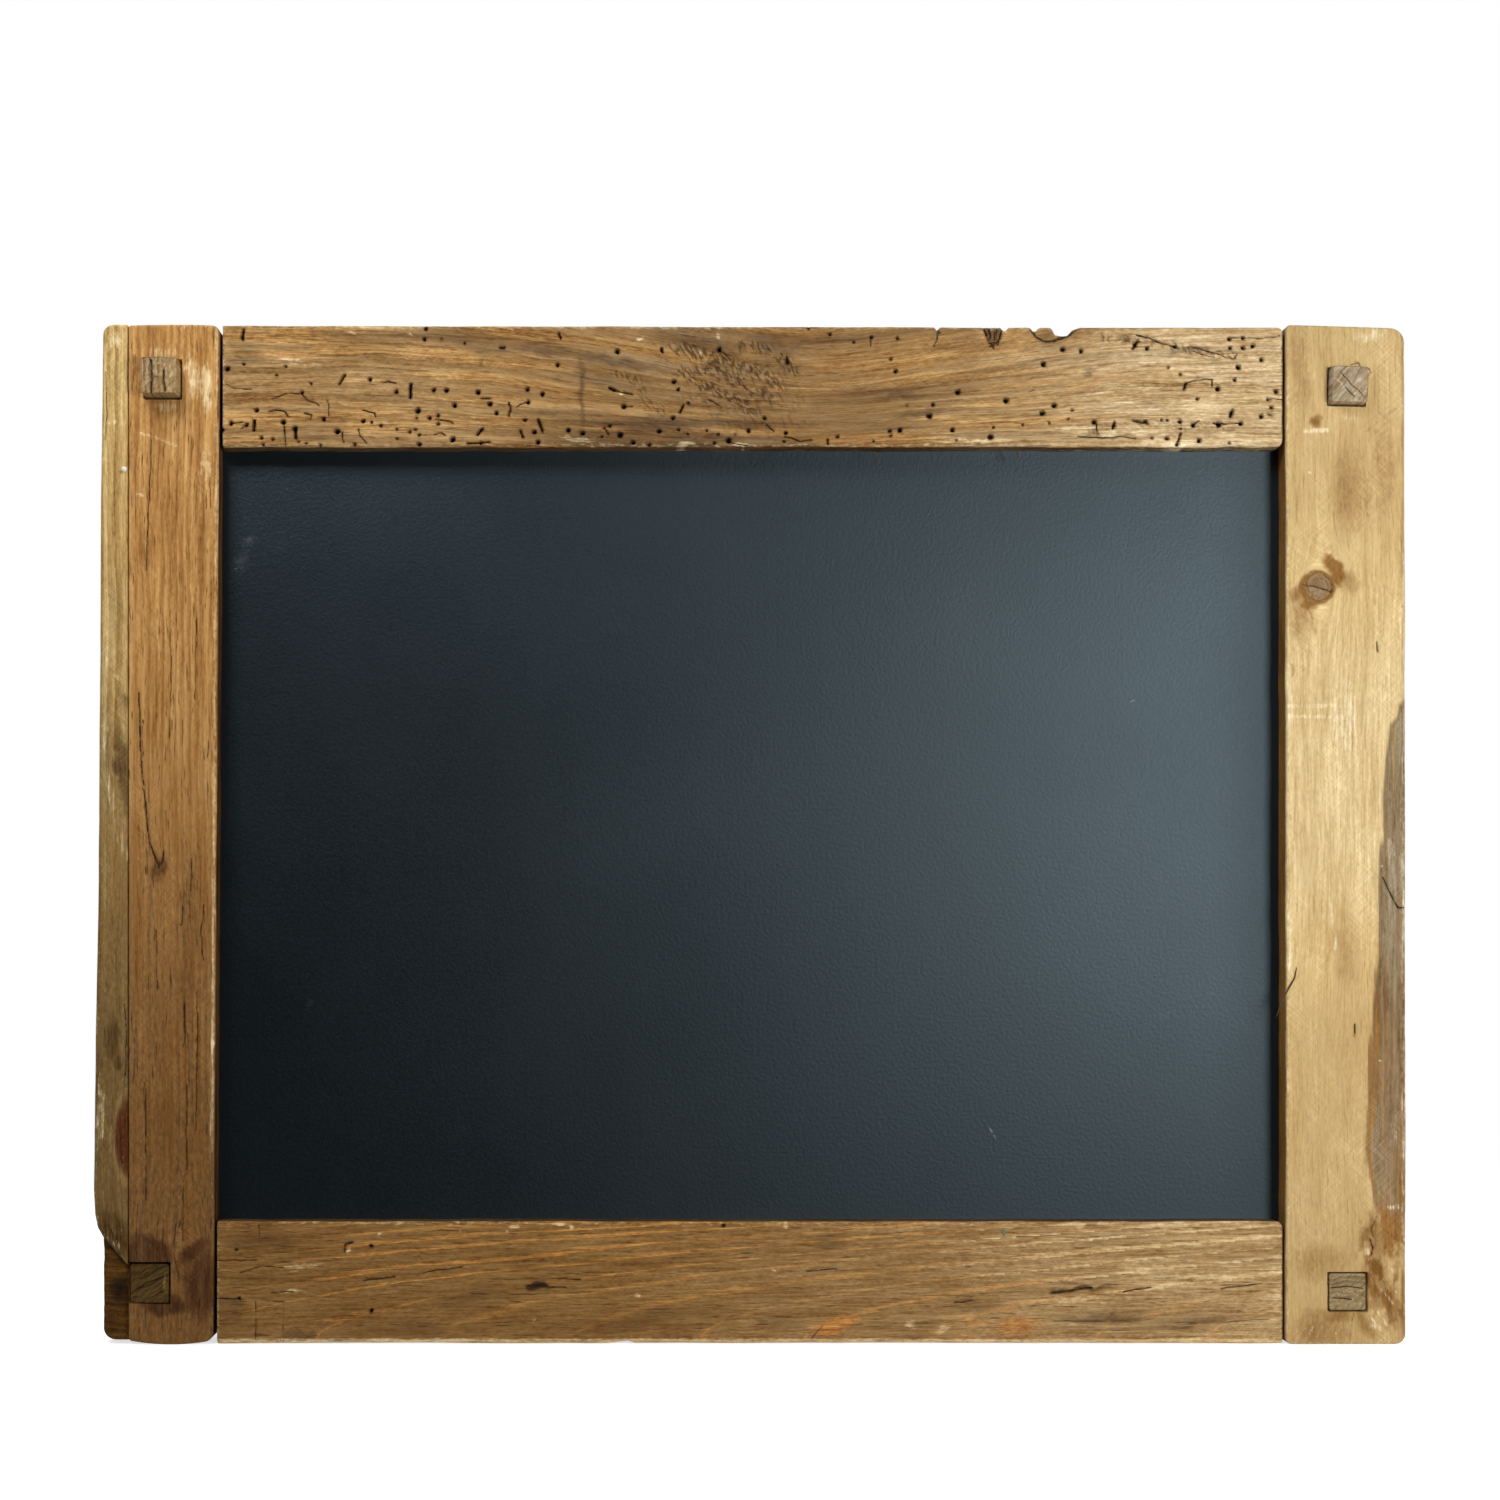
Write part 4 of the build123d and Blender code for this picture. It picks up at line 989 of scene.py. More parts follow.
TOP_EDGE = [
    (934.5, 0), (937.5, 3.2), (940.5, 0), (1001.5, 0), (1003, 2.8), (1006, 3.3), (1009, 0), (1031, 0),
    (1033, 3.2), (1036, 4), (1038.5, 1), (1041, 0), (1050.5, 0), (1052.5, 2), (1055, 7.2), (1060, 8.4),
    (1068, 7.8), (1073, 2.2), (1079.5, 0),
]
LINE_SAG = [
    (220, 0), (400, 3), (490, 8), (560, 18), (656, 35), (770, 54), (825, 60), (881, 52), (955, 42),
    (1060, 27), (1130, 21), (1290, 17),
]
WORM_HOLES = [
    (227.2, 368.5, 5), (285.5, 366.6, 2.4), (276, 375, 2.4), (243.5, 364, 2.6), (310.8, 383.7, 2.6),
    (302, 392.3, 4), (256.5, 410.5, 4), (231, 423, 5), (246.3, 425.2, 4), (283.5, 422, 5.5),
    (295, 428.5, 5.5), (324, 419.4, 4.5), (337.2, 431, 6), (363.2, 421.4, 4.5), (371.7, 422.3, 3),
    (380.8, 425.4, 3.6), (370, 379.5, 4.5), (396, 391.4, 4.5), (418, 410.8, 6), (416.5, 417.7, 2.6),
    (433.7, 390, 4.5), (446.3, 390.5, 5), (454.6, 405.2, 5), (429.5, 418, 4.5), (438.3, 415.4, 4),
    (438.3, 424, 3.6), (478, 392, 5.5), (490, 404, 5), (496.3, 412.8, 4.5), (409.5, 431.7, 3.6),
    (415, 429.2, 3), (419, 434.6, 3), (452.6, 439.2, 6), (481, 443, 4), (419, 444, 5), (354.6, 444, 3.6),
    (306.3, 443, 3.2), (298.3, 441.7, 2.4), (262.6, 444, 3.2), (320, 444.4, 3), (261.4, 437.7, 3.6),
    (272.8, 439.2, 3.4), (426, 328.4, 4.5), (424.6, 339.2, 4), (441.7, 339.4, 2.4), (464.6, 343.4, 2.4),
    (481.5, 363.4, 2.4), (222.8, 430, 3), (396.5, 429, 2.4), (397, 438.5, 2.6), (557.7, 365, 4.5),
    (617.2, 351.4, 5.5), (673.7, 381.4, 5.2), (678.3, 389.3, 4), (719.3, 349.2, 5), (527.5, 389.5, 4),
    (542.3, 393.8, 4.6), (528, 402, 4.6), (525, 419.9, 4), (568.2, 429.7, 5), (534.4, 432, 5),
    (537.7, 442.2, 5), (582.8, 433.4, 5), (624, 406.5, 5), (604.7, 427.8, 2.6), (609.8, 425.6, 3.6),
    (602, 436.5, 2.6), (620, 434.8, 6), (633, 442.6, 4.6), (649, 444.6, 4), (659, 431, 5),
    (688.3, 402.8, 3), (673, 417.6, 4.6), (678.6, 429.7, 3), (688, 434, 2.4), (706.8, 430.6, 2.4),
    (718, 434.3, 2.4), (735.4, 434.3, 2.4), (748.4, 430.6, 5), (714.7, 443, 3.6), (728.6, 440.4, 6),
    (764.6, 418.2, 4.4), (830, 334, 4), (871.4, 337, 3.2), (897.6, 338.3, 3.2), (854, 341.8, 3),
    (808.8, 328.2, 3), (890.6, 358.5, 3), (895.8, 371, 5), (958, 392, 5.5), (933.3, 404.3, 4),
    (929.4, 415.8, 6), (907.2, 405, 2.4), (889.8, 430.8, 4.2), (899.8, 430, 5), (890.8, 435.6, 2.6),
    (952.5, 429.7, 5), (1006.2, 400.4, 6.4), (1042.4, 413, 6), (1054.4, 405.4, 5.5), (1043.7, 364, 5.6),
    (990.6, 437, 6), (993.4, 427.3, 2.6), (1022.6, 424.9, 2.4), (1049, 423, 2.4), (837.5, 436.5, 3.2),
    (783.9, 441.3, 2.6), (786, 432.8, 4), (956.4, 439.8, 2.6), (874, 441.3, 2.4), (1063.3, 349.2, 5.5),
    (1081.5, 350.8, 4.6), (1072.4, 410, 3), (1068.4, 419, 2.6), (1094.5, 422, 5.5), (1114, 425, 4),
    (1145.5, 421, 4), (1161.8, 420, 2.6), (1167.6, 420, 2.6), (1180, 421.4, 4.6), (1180.4, 428.6, 2.6),
    (1193.6, 425, 5), (1219, 424, 6.4), (1241, 423.5, 5), (1231.8, 413.2, 5.2), (1261.8, 416.3, 5),
    (1270.2, 414, 4.6), (1271.8, 406.8, 3.6), (1268.7, 399.2, 4), (1276.2, 391.4, 5),
    (1197.3, 398.6, 3.6), (1218.2, 388.6, 5), (1235, 379.5, 4), (1238.5, 366.8, 6), (1180.4, 374, 3),
    (1168.5, 367, 2.4), (1261.6, 359.2, 4.6), (1253, 345.5, 5), (1243.3, 347.7, 5), (1229.6, 338.6, 5),
    (1230.4, 347.7, 4), (1243.6, 337.7, 4), (1135.5, 345, 5), (1147.6, 348, 4.6), (1175.5, 346.3, 5),
    (1167.3, 438.6, 4), (1177.3, 444, 4.6), (1199.6, 440.5, 5), (1230, 442.6, 3), (1151.8, 438, 3),
]
WORM_SLOTS = [
    ([(243.2, 330.5), (242.3, 339.5)], 1.0), ([(339.2, 384), (344.5, 375)], 0.75),
    ([(254.5, 420.5), (253.7, 430)], 1.1), ([(294.8, 428), (296, 438)], 1.0),
    ([(411, 384.5), (410.2, 397.5)], 1.15), ([(477.7, 434), (482, 428.6)], 1.1),
    ([(468, 442.8), (489, 442)], 0.55), ([(500, 347), (504, 347.8)], 1.0),
    ([(558.8, 333), (560.3, 338)], 0.7), ([(661.5, 348.5), (662.2, 351.5)], 1.05),
    ([(508.5, 415.8), (511, 408), (509, 403)], 0.6), ([(538.5, 419.5), (542.7, 431)], 0.9),
    ([(520.5, 430.6), (523, 437)], 0.8), ([(679.6, 412), (683.3, 405.3)], 0.8),
    ([(786.8, 358.5), (788, 363)], 1.05), ([(827.9, 439.6), (828, 443)], 0.7),
    ([(1133.6, 420.5), (1148, 423)], 0.8), ([(1114.6, 422.6), (1113, 428)], 0.8),
    ([(1181, 433.2), (1177.3, 445)], 0.8), ([(1233, 410.5), (1231, 416.5)], 1.0),
    ([(1133, 348.6), (1138, 341)], 0.9), ([(1184, 389), (1186.4, 383.2)], 0.8),
    ([(610, 388), (614, 390)], 0.9),
]
WORM_GALLERIES = [
    ([(226, 384), (231.4, 387.4), (251.4, 389.5)], 0.3), ([(272.3, 399), (285, 394), (300.5, 393)], 0.42),
    ([(302.3, 395), (307.7, 400.5), (318.6, 405)], 0.32),
    ([(269.5, 411.4), (276.8, 410), (285, 411.7), (287.4, 416)], 0.55),
    ([(231, 423), (242.3, 422.3)], 0.4), ([(241, 429), (246, 425)], 0.3), ([(284, 427), (285, 445)], 0.5),
    ([(326, 399.5), (329, 406), (328.6, 416)], 0.28), ([(305, 413), (311.4, 414.6), (310.5, 419)], 0.45),
    ([(342.8, 433), (343.2, 442)], 0.4), ([(358.6, 429.5), (360.5, 436), (366, 443)], 0.42),
    ([(363, 410.5), (375, 413), (375.4, 416.5)], 0.5),
    ([(383.2, 382.6), (388.6, 380.8), (396, 383.7)], 0.55),
    ([(436, 419.5), (446.8, 420.5), (452.8, 424)], 0.4), ([(480.5, 398.3), (489.5, 398.6)], 0.45),
    ([(435, 434.6), (440.5, 432.8), (445.5, 435.4)], 0.4), ([(719.3, 350), (729.5, 356.6)], 0.42),
    ([(517, 407), (521, 404), (528, 402)], 0.4), ([(610, 388), (619.5, 391.8), (632.4, 394.5)], 0.55),
    ([(626, 406.5), (632.5, 406.5)], 0.35), ([(606, 430.6), (608.4, 434.4)], 0.5),
    ([(706.4, 398.2), (718.4, 404.7)], 0.4), ([(728.6, 441.7), (747, 445)], 0.4),
    ([(767, 424), (774, 430.6)], 0.45), ([(933.7, 346.4), (937.4, 338), (938, 329)], 0.36),
    ([(871, 339), (871.5, 346)], 0.28), ([(1096.5, 424), (1097.3, 433)], 0.5),
    ([(1195, 423), (1198.5, 421)], 0.5), ([(1213.6, 423.2), (1242, 423.4)], 0.5),
    ([(1270, 399), (1284, 399.8)], 0.35),
    ([(1186.4, 383.2), (1193.6, 380.5), (1206.4, 379), (1212.7, 379.5), (1212.2, 385)], 0.5),
    ([(1137, 335), (1148, 337.7), (1161, 343), (1175.5, 346.8)], 0.62),
    ([(1190, 346), (1204.5, 350.3), (1215.5, 353), (1233.6, 359.5), (1237, 354)], 0.36),
    ([(1190, 349.5), (1204.5, 355), (1214, 357)], 0.3),
    ([(1079, 436.5), (1102.7, 437.7), (1126.4, 436.5), (1135.5, 438.6)], 0.4),
    ([(1232, 337), (1262, 338.5), (1280, 336)], 0.34), ([(1028, 392), (1036, 390)], 0.2),
    ([(983.8, 327), (986, 335), (990, 345.7)], 0.4), ([(1002, 329), (1001.5, 336), (998.4, 345)], 0.4),
    ([(993, 341), (993.6, 348)], 0.4), ([(989, 330), (991, 340)], 0.16), ([(995, 330), (995, 340)], 0.16),
    ([(1032, 328), (1034.5, 334), (1040, 339.6), (1048, 341), (1056, 339), (1064, 335.6), (1070, 334)],
     0.5),
    ([(785, 436), (800, 441), (812, 440)], 0.34),
    ([(1031, 327), (1036, 336), (1045, 341.5), (1054, 341), (1062, 338.5), (1072, 334), (1078, 328)], 1.1),
    ([(984, 327), (988, 338), (993.4, 347)], 0.7), ([(1002.5, 327), (1000, 338), (993.4, 347)], 0.7),
    ([(936, 327), (938.5, 331)], 1.0), ([(989, 327), (992, 343)], 0.4), ([(997, 327), (995, 343)], 0.4),
]
TOP_STAINS = [
    (994, 335, 11, 15, 0, 0.8), (1046, 333, 11, 9, 0, 0.65), (620, 362, 60, 7, -8, 0.5),
    (540, 350, 50, 8, -8, 0.45), (700, 340, 70, 14, -6, 0.4), (735, 395, 52, 34, -20, 0.2),
    (660, 425, 60, 12, 0, 0.4), (480, 350, 40, 10, -6, 0.4), (770, 345, 40, 12, -10, 0.4),
    (1088, 371, 10, 7, 0, 0.55), (1150, 402, 14, 6, 0, 0.35), (1125, 338, 14, 5, 8, 0.7),
    (1190, 350, 50, 6, 12, 0.55), (300, 430, 90, 14, 0, 0.3), (415, 382, 30, 8, 0, 0.35),
    (900, 396, 30, 6, 6, 0.35), (925, 412, 40, 5, 6, 0.45), (980, 345, 46, 14, 0, 0.4),
    (1055, 345, 40, 8, 0, 0.4), (246, 350, 26, 30, 0, 0.3), (372, 345, 90, 16, -4, 0.28),
    (700, 440, 50, 6, 0, 0.35), (582, 390, 4, 50, 0, 0.45), (1120, 437, 50, 3, 0, 0.6),
]
TOP_SCRAPES = [
    (686, 443, 10, 3, -8, 0.9), (741, 445.5, 10, 2.4, -4, 1.0), (620, 394, 5, 3, -20, 1.0),
    (844, 382, 4.5, 1.1, 0, 0.9), (640, 340, 5, 3.4, -12, 0.8), (717, 332, 4, 5, 0, 0.6),
    (1130, 432, 50, 8, 0, 0.6), (1200, 408, 24, 16, 0, 0.45), (1170, 442, 40, 5, 0, 0.7),
    (1080, 430, 44, 6, 0, 0.5), (970, 441, 60, 5, 0, 0.6), (470, 418, 30, 5, 0, 0.3),
    (1150, 362, 28, 3, 4, 0.6), (354, 333, 7, 2, -10, 0.6), (410, 338, 7, 2, -20, 0.7),
    (1225, 433, 20, 4, 0, 0.5), (1130, 390, 60, 12, 4, 0.35), (700, 352, 3, 3, 0, 0.7),
    (300, 362, 60, 3, -2, 0.35), (576, 438, 26, 4, 0, 0.5),
]
TORN_BANDS = [
    ([(676, 344), (690, 352), (714, 360), (740, 366), (762, 374), (782, 384)], 3.4, 1.0),
    ([(682, 372), (698, 382), (718, 392), (736, 400), (752, 412)], 2.8, 0.95),
    ([(742, 346), (762, 348), (780, 356), (796, 370)], 2.8, 0.9),
    ([(698, 368), (722, 370), (738, 382), (752, 392), (772, 400)], 2.4, 0.9),
    ([(618, 372), (636, 380), (650, 404), (662, 410)], 2.6, 0.7),
    ([(1104, 337), (1140, 340), (1170, 345), (1204, 352), (1234, 357)], 2.0, 0.8),
    ([(1088, 430), (1130, 424), (1180, 424), (1232, 427)], 2.4, 0.45),
]
HOLE_SHAKE = (0.7, 1.6)
HOLE_SHARE = 0.46
SLOT_SHARE = 0.68


def bored(x, z, holes, slots, face):
    """Gap to the nearest worm hole or slot, below 0 inside: round holes by (px, py, pixels across), slots
    by (pixels, half width)."""
    nearest = np.full(x.shape, FAR)
    x, z = shaken(x, z, *HOLE_SHAKE)
    for px, py, across in holes:
        spot_x, spot_z = seen(px, py, face)
        nearest = np.minimum(nearest, np.hypot(x - spot_x, z - spot_z) - HOLE_SHARE * across * PIXEL_MM)
    for pixels, half in slots:
        nearest = np.minimum(nearest, line_gap(x, z, pixels, face)[0] - SLOT_SHARE * half)
    return nearest


TOP_ROW_STEP = 0.72
TOP_FACE_POINTS = 94
TOP_LOWER_PULL = 1.35
TOP_OUTER_CORNER = 2.6
RAIL_CORNER = 3.0
RAIL_END_ROUND = 1.0
SAG_BLUR = 37
GALLERY_SHARE = 0.62
SHOULDER_SHADE_REACH = 0.9
SHOULDER_FADE = 0.7

along = stations(*TOP_SHOULDERS, TOP_ROW_STEP)
edge_x = [seen(column, 0, RAIL_FACE)[0] for column, _ in TOP_EDGE]
dips = np.interp(along, edge_x, [dip * PIXEL_MM for _, dip in TOP_EDGE])
outer = TOP_RAIL_TOP - 0.9 * eased(along / 520 + 0.5) - dips - 0.35 * lumps(along / 17, along * 0, 51)
outer -= rounded(TOP_SHOULDERS[1] - along, TOP_OUTER_CORNER)
inner = TOP_RAIL_FOOT + 0.9 * (lumps(along / 13, along * 0, 52) - 0.15)
inner += rounded(TOP_SHOULDERS[1] - along, RAIL_CORNER)
upper_arris = (0.6 + 0.9 * lumps(along / 25, along * 0, 53))[:, None]
lower_arris = (0.8 + 1.3 * lumps(along / 12, along * 0, 54))[:, None]
rise = np.linspace(0, 1, TOP_FACE_POINTS)[1:-1]
rows = sawn_board(along, outer, inner, RAIL_FACE, RAIL_BACK, (upper_arris, lower_arris), FACE_STEP,
                  (BED, REBATE_HIGH, 1.0), RAIL_END_ROUND, 1 - (1 - rise) ** TOP_LOWER_PULL)
x, z, y, face, arris_gap = tenoned_ends(rows, TOP_TENON, TOP_TENON_MIDDLE)
sag_x = [seen(column, 0, RAIL_FACE)[0] for column, _ in LINE_SAG]
fine_x = np.linspace(-320, 320, 641)
sags = np.interp(fine_x, sag_x, [sag * PIXEL_MM for _, sag in LINE_SAG])
sag_line = np.convolve(np.pad(sags, SAG_BLUR // 2, "edge"), np.ones(SAG_BLUR) / SAG_BLUR, "valid")
sag = np.interp(x, fine_x, sag_line) * (0.3 + 0.7 * eased((z - TOP_RAIL_FOOT) / 34))
bend = 4.0 * (lumps(x / 95, z / 30, 55, 2) - 0.5) + 1.8 * (lumps(x / 30, z / 7, 56) - 0.5)
swirl = 6.0 * patch(x, z, 735, 392, 60, 44, RAIL_FACE) * (lumps(x / 14, z / 9, 57) - 0.5)
flow = z + sag + bend + swirl
marks = plain_marks(x, flow, y, np.hypot(flow - 330, y - 90) / 5.2, arris_gap, 1.3)
marks["dark"] = patches(x, z, TOP_STAINS, RAIL_FACE)
marks["dark"] += 0.36 * eased((x + 190) / 120) * eased((150 - x) / 110)
grey_bands = eased(2.2 * lumps(x / 70, flow / 5.5, 61) - 0.9)
marks["dark"] += 0.5 * grey_bands * (0.45 + 0.55 * eased((200 - x) / 100))
# Painted shade on the rail's ends where they meet the stiles' shoulders.
right_seam = eased((x - TOP_SHOULDERS[1] + SHOULDER_SHADE_REACH) / SHOULDER_FADE)
left_seam = eased((TOP_SHOULDERS[0] + SHOULDER_SHADE_REACH - x) / SHOULDER_FADE)
marks["dark"] += PAINTED_SHADE * right_seam + PAINTED_SHADE * left_seam
marks["heart"] = (0.75 - 0.5 * eased((x - 60) / 150)) * eased(2.4 * lumps(x / 60, flow / 4.2, 62) - 0.8)
# Painted shade on the underside, which faces the panel.
shaded_panel_side(marks, face, z - TOP_RAIL_FOOT)
pale_fibres = 0.6 * eased((x - 90) / 150) * lumps(x / 50, flow / 3, 63)
marks["pale"] = patches(x, z, TOP_SCRAPES, RAIL_FACE) + pale_fibres
# Painted light: the rail lightens towards its right end.
marks["painted_light"] = 0.42 * eased((x - 70) / 160)
marks["bore"] = np.where(face > 0.5, bored(x, z, WORM_HOLES, WORM_SLOTS, RAIL_FACE), FAR)
galleries = [(line, GALLERY_SHARE * half) for line, half in WORM_GALLERIES]
marks["near"], marks["split"] = splits(x, z, galleries, RAIL_FACE)
torn = patch(x, z, 735, 393, 62, 42, RAIL_FACE) + 0.8 * patch(x, z, 1185, 350, 70, 12, RAIL_FACE, -8)
torn += 0.7 * patch(x, z, 1200, 430, 110, 18, RAIL_FACE) + 0.5 * patch(x, z, 330, 432, 140, 16, RAIL_FACE)
y += face * (0.6 * (lumps(x / 60, flow / 10, 58) - 0.35) + 0.22 * (lumps(x / 9, flow / 1.7, 59) - 0.5))
y += face * torn * 0.9 * (lumps(x / 4.2, flow / 1.6, 60) - 0.35)
lifted = patch(x, z, 735, 390, 104, 52, RAIL_FACE, -20)
lifted *= eased(3.2 * lumps((z + 0.55 * x) / 5, (x - z) / 40, 64) - 0.6)
curl = lumps((x + 0.42 * z) / 1.3, z / 2.6, 65, 2)
y += face * lifted * 1.6 * (0.55 - curl)
# Painted shade where the lifted fibres sink, and a painted highlight where they rise.
marks["dark"] += 0.5 * lifted * eased(3.0 * (0.5 - curl))
marks["pale"] += 0.14 * lifted * eased(4.0 * (curl - 0.6))
marks["torn"] = face * strokes(*shaken(x, z, 4.0, 7.0), TORN_BANDS, RAIL_FACE)
y += face * (2.6 * eased(0.35 - marks["bore"] / 0.8) + 0.9 * eased(1.7 - marks["near"]))
top_wood = old_wood(
    "worm_eaten_board",
    {"Early wood": (182, 145, 94), "Late wood": (122, 89, 54), "Worn and lit wood": (234, 209, 163),
     "Stain and shade": (105, 80, 52), "Heartwood": (186, 141, 82)},
    late_share=0.6, figure=0.75, fibre=1.15, streak=1.2, pores=0.55, scuff=0.5, relief=0.8)
finish_board("top_rail_worn", "top_rail", top_wood, x, y, z, marks)


# Bottom rail: a darker board, slant-sawn so its late wood shows as orange lines that spring from the
# lower edge and flatten out to the right. It has old nail holes, a small black knot and a chipped pale
# upper arris, and it is tenoned into the stiles like the top rail.
BOTTOM_RAIL_TOP = 60.0
BOTTOM_SHOULDERS = (-260.0, 260.0)
BOTTOM_TENON = (6.0, 48.0)
BOTTOM_TENON_MIDDLE = (27.0, 0.0)
BOTTOM_ROW_STEP = 0.78
BOTTOM_OUTER_CORNER = 1.2
LINE_SPRING = 2.79
LINE_STEP = 64.0
LINE_THICK = 2.4
LATE_PHASE = 0.3
NAIL_HOLES = [
    (236.5, 1250, 3.4), (370.8, 1246.3, 4), (238.8, 1298.5, 3.4), (371.2, 1310.8, 4.4),
    (723.3, 1225.8, 3.4),
]
BOTTOM_CRACKS = [
    ([(530, 1286.8), (538, 1286), (546, 1286.6)], 1.0), ([(532, 1287.5), (543, 1285)], 1.1),
    ([(344.8, 1250), (345.4, 1244.2), (351.5, 1242.8)], 0.55), ([(559, 1279), (580, 1279)], 0.34),
    ([(364, 1281), (380, 1279), (394, 1277)], 0.28), ([(216, 1299), (236, 1299)], 0.26),
    ([(216, 1260.5), (256, 1260.5)], 0.24), ([(272, 1293), (292, 1292)], 0.26),
    ([(424, 1273), (462, 1267)], 0.24), ([(283.4, 1300), (283.6, 1343)], 0.16),
    ([(255.5, 1296), (255.5, 1340)], 0.14), ([(259, 1226), (259, 1236)], 0.2),
    ([(548, 1286.5), (566, 1287.5)], 0.2), ([(240, 1273), (262, 1266), (284, 1268)], 0.2),
    ([(812, 1338), (822, 1326)], 0.2), ([(955, 1302.5), (970, 1301.5)], 0.3),
    ([(1052, 1293), (1072, 1291), (1090, 1287.5)], 0.55), ([(1124, 1292), (1150, 1288)], 0.34),
    ([(1222, 1289), (1262, 1284)], 0.24), ([(807, 1271.5), (836, 1269)], 0.26),
]
BOTTOM_STAINS = [
    (538, 1286.5, 13, 5, 0, 1.6), (831, 1244, 30, 14, 0, 0.55), (1080, 1290, 40, 4, 6, 0.7),
    (1110, 1318, 60, 8, 4, 0.45), (1105, 1275, 22, 10, 0, 0.4), (300, 1335, 26, 9, 0, 0.45),
    (230, 1310, 26, 30, 0, 0.3), (640, 1320, 110, 16, 8, 0.42), (980, 1308, 40, 14, 4, 0.4),
    (470, 1296, 60, 14, 6, 0.3), (420, 1330, 90, 12, 0, 0.35), (1200, 1325, 60, 14, 0, 0.35),
    (780, 1322, 40, 14, 0, 0.35), (260, 1240, 50, 14, 0, 0.3),
]
ORANGE_FLAMES = [
    (838, 1324, 30, 11, 28, 0.75), (1016, 1329, 38, 17, 8, 0.6), (342, 1317, 28, 5, 16, 0.7),
    (395, 1307, 20, 4, 14, 0.6), (620, 1342, 18, 5, 0, 0.5), (702, 1335, 14, 8, 40, 0.4),
]
BOTTOM_SCRAPES = [
    (454.7, 1224.6, 7, 2.2, 0, 1.0), (513, 1225, 6, 2.6, 0, 1.2), (557, 1225.6, 9, 2.6, 0, 1.1),
    (571, 1226.4, 4, 3.4, 0, 1.2), (382, 1234, 3, 2, 0, 1.0), (461, 1232, 3, 1.6, 0, 1.0),
    (506, 1231.6, 3, 2, 0, 1.0), (785, 1226.5, 4, 3, 0, 1.0), (1074, 1225, 12, 3.4, 0, 1.1),
    (1105, 1227, 14, 2.6, 0, 0.8), (1170, 1226, 40, 3, 0, 0.6), (773, 1268, 2.4, 3, 20, 0.7),
    (637, 1296, 4, 2.4, 0, 0.7), (943, 1331, 12, 6, 30, 0.7), (910, 1324, 9, 7, 20, 0.5),
    (300, 1266, 30, 5, 4, 0.4), (290, 1291, 18, 3, 0, 0.6), (534, 1319, 4, 3, 0, 0.6),
    (1100, 1300, 60, 5, 4, 0.2), (1190, 1278, 70, 6, 2, 0.25), (1150, 1268, 60, 4, 2, 0.3),
    (1276, 1290, 8, 50, 0, 0.35), (349.5, 1248.5, 4.5, 4, 0, 1.0),
]

along = stations(*BOTTOM_SHOULDERS, BOTTOM_ROW_STEP)
edge_x = [seen(column, 0, RAIL_FACE)[0] for column in (606, 628, 635)]
outer = 0.1 + 0.8 * lumps(along / 40, along * 0, 71) * eased((along + 265) / 60)
chip = np.interp(along, edge_x, (0, 1.1, 0), 0, 0)
outer += chip + rounded(along - BOTTOM_SHOULDERS[0], BOTTOM_OUTER_CORNER)
inner = BOTTOM_RAIL_TOP - 0.8 * (lumps(along / 22, along * 0, 72) - 0.1)
inner -= rounded(BOTTOM_SHOULDERS[1] - along, RAIL_CORNER)
lower_arris = (0.7 + 0.8 * lumps(along / 30, along * 0, 73))[:, None]
upper_arris = (0.9 + 1.2 * lumps(along / 16, along * 0, 74))[:, None]
rows = sawn_board(along, outer, inner, RAIL_FACE, RAIL_BACK, (lower_arris, upper_arris), FACE_STEP,
                  (BED, REBATE_LOW, 1.0), RAIL_END_ROUND)
x, z, y, face, arris_gap = tenoned_ends(rows, BOTTOM_TENON, BOTTOM_TENON_MIDDLE)
bend = 2.2 * (lumps(x / 90, z / 26, 75, 2) - 0.5) + 0.9 * (lumps(x / 34, z / 6, 76) - 0.5)
above = np.maximum(z + bend + 0.35 * (y - RAIL_FACE), 0)
sprung = x - (above / LINE_SPRING) ** 2
flow = z - LINE_SPRING * np.sqrt(np.maximum(x - sprung.min() + 40, 1)) * 0.35 + bend
ring = sprung / LINE_STEP + 0.9 * lumps(sprung / 60, z / 200, 77)
spacing = LINE_STEP / np.hypot(1, 2 * above / LINE_SPRING**2)
before_line = (1 - ring % 1) * spacing
early = (1 - LATE_PHASE) * (1 - (before_line - LINE_THICK) / np.maximum(spacing - LINE_THICK, 0.1))
phase = np.where(before_line < LINE_THICK, 1 - LATE_PHASE * before_line / LINE_THICK, early)
phase *= 0.7 + 0.3 * eased((x + 252) / 60)
marks = plain_marks(x, flow, y, np.floor(ring) + np.clip(phase, 0, 1) - 0.5, arris_gap, 1.3)
# Stains, and painted shade that darkens the rail towards its left end.
marks["dark"] = patches(x, z, BOTTOM_STAINS, RAIL_FACE) + 0.16 * eased((60 - x) / 300)
marks["dark"] += 0.4 * eased(2.6 * lumps(x / 60, flow / 3, 82) - 1.1) * eased((x - 40) / 120)
# Painted shade on the upper side, which faces the panel.
shaded_panel_side(marks, face, BOTTOM_RAIL_TOP - z)
marks["heart"] = patches(x, z, ORANGE_FLAMES, RAIL_FACE)
pale_fibres = 0.24 * eased((x - 50) / 210) * lumps(x / 50, flow / 2.0, 81)
marks["pale"] = patches(x, z, BOTTOM_SCRAPES, RAIL_FACE) + pale_fibres
marks["pale"] += 0.85 * np.exp(-(before_line / 0.8) ** 2) * eased((x - 20) / 160) * eased((z - 14) / 22)
marks["pale"] = face * (marks["pale"] + 0.85 * eased((3.3 - z) / 1.5))
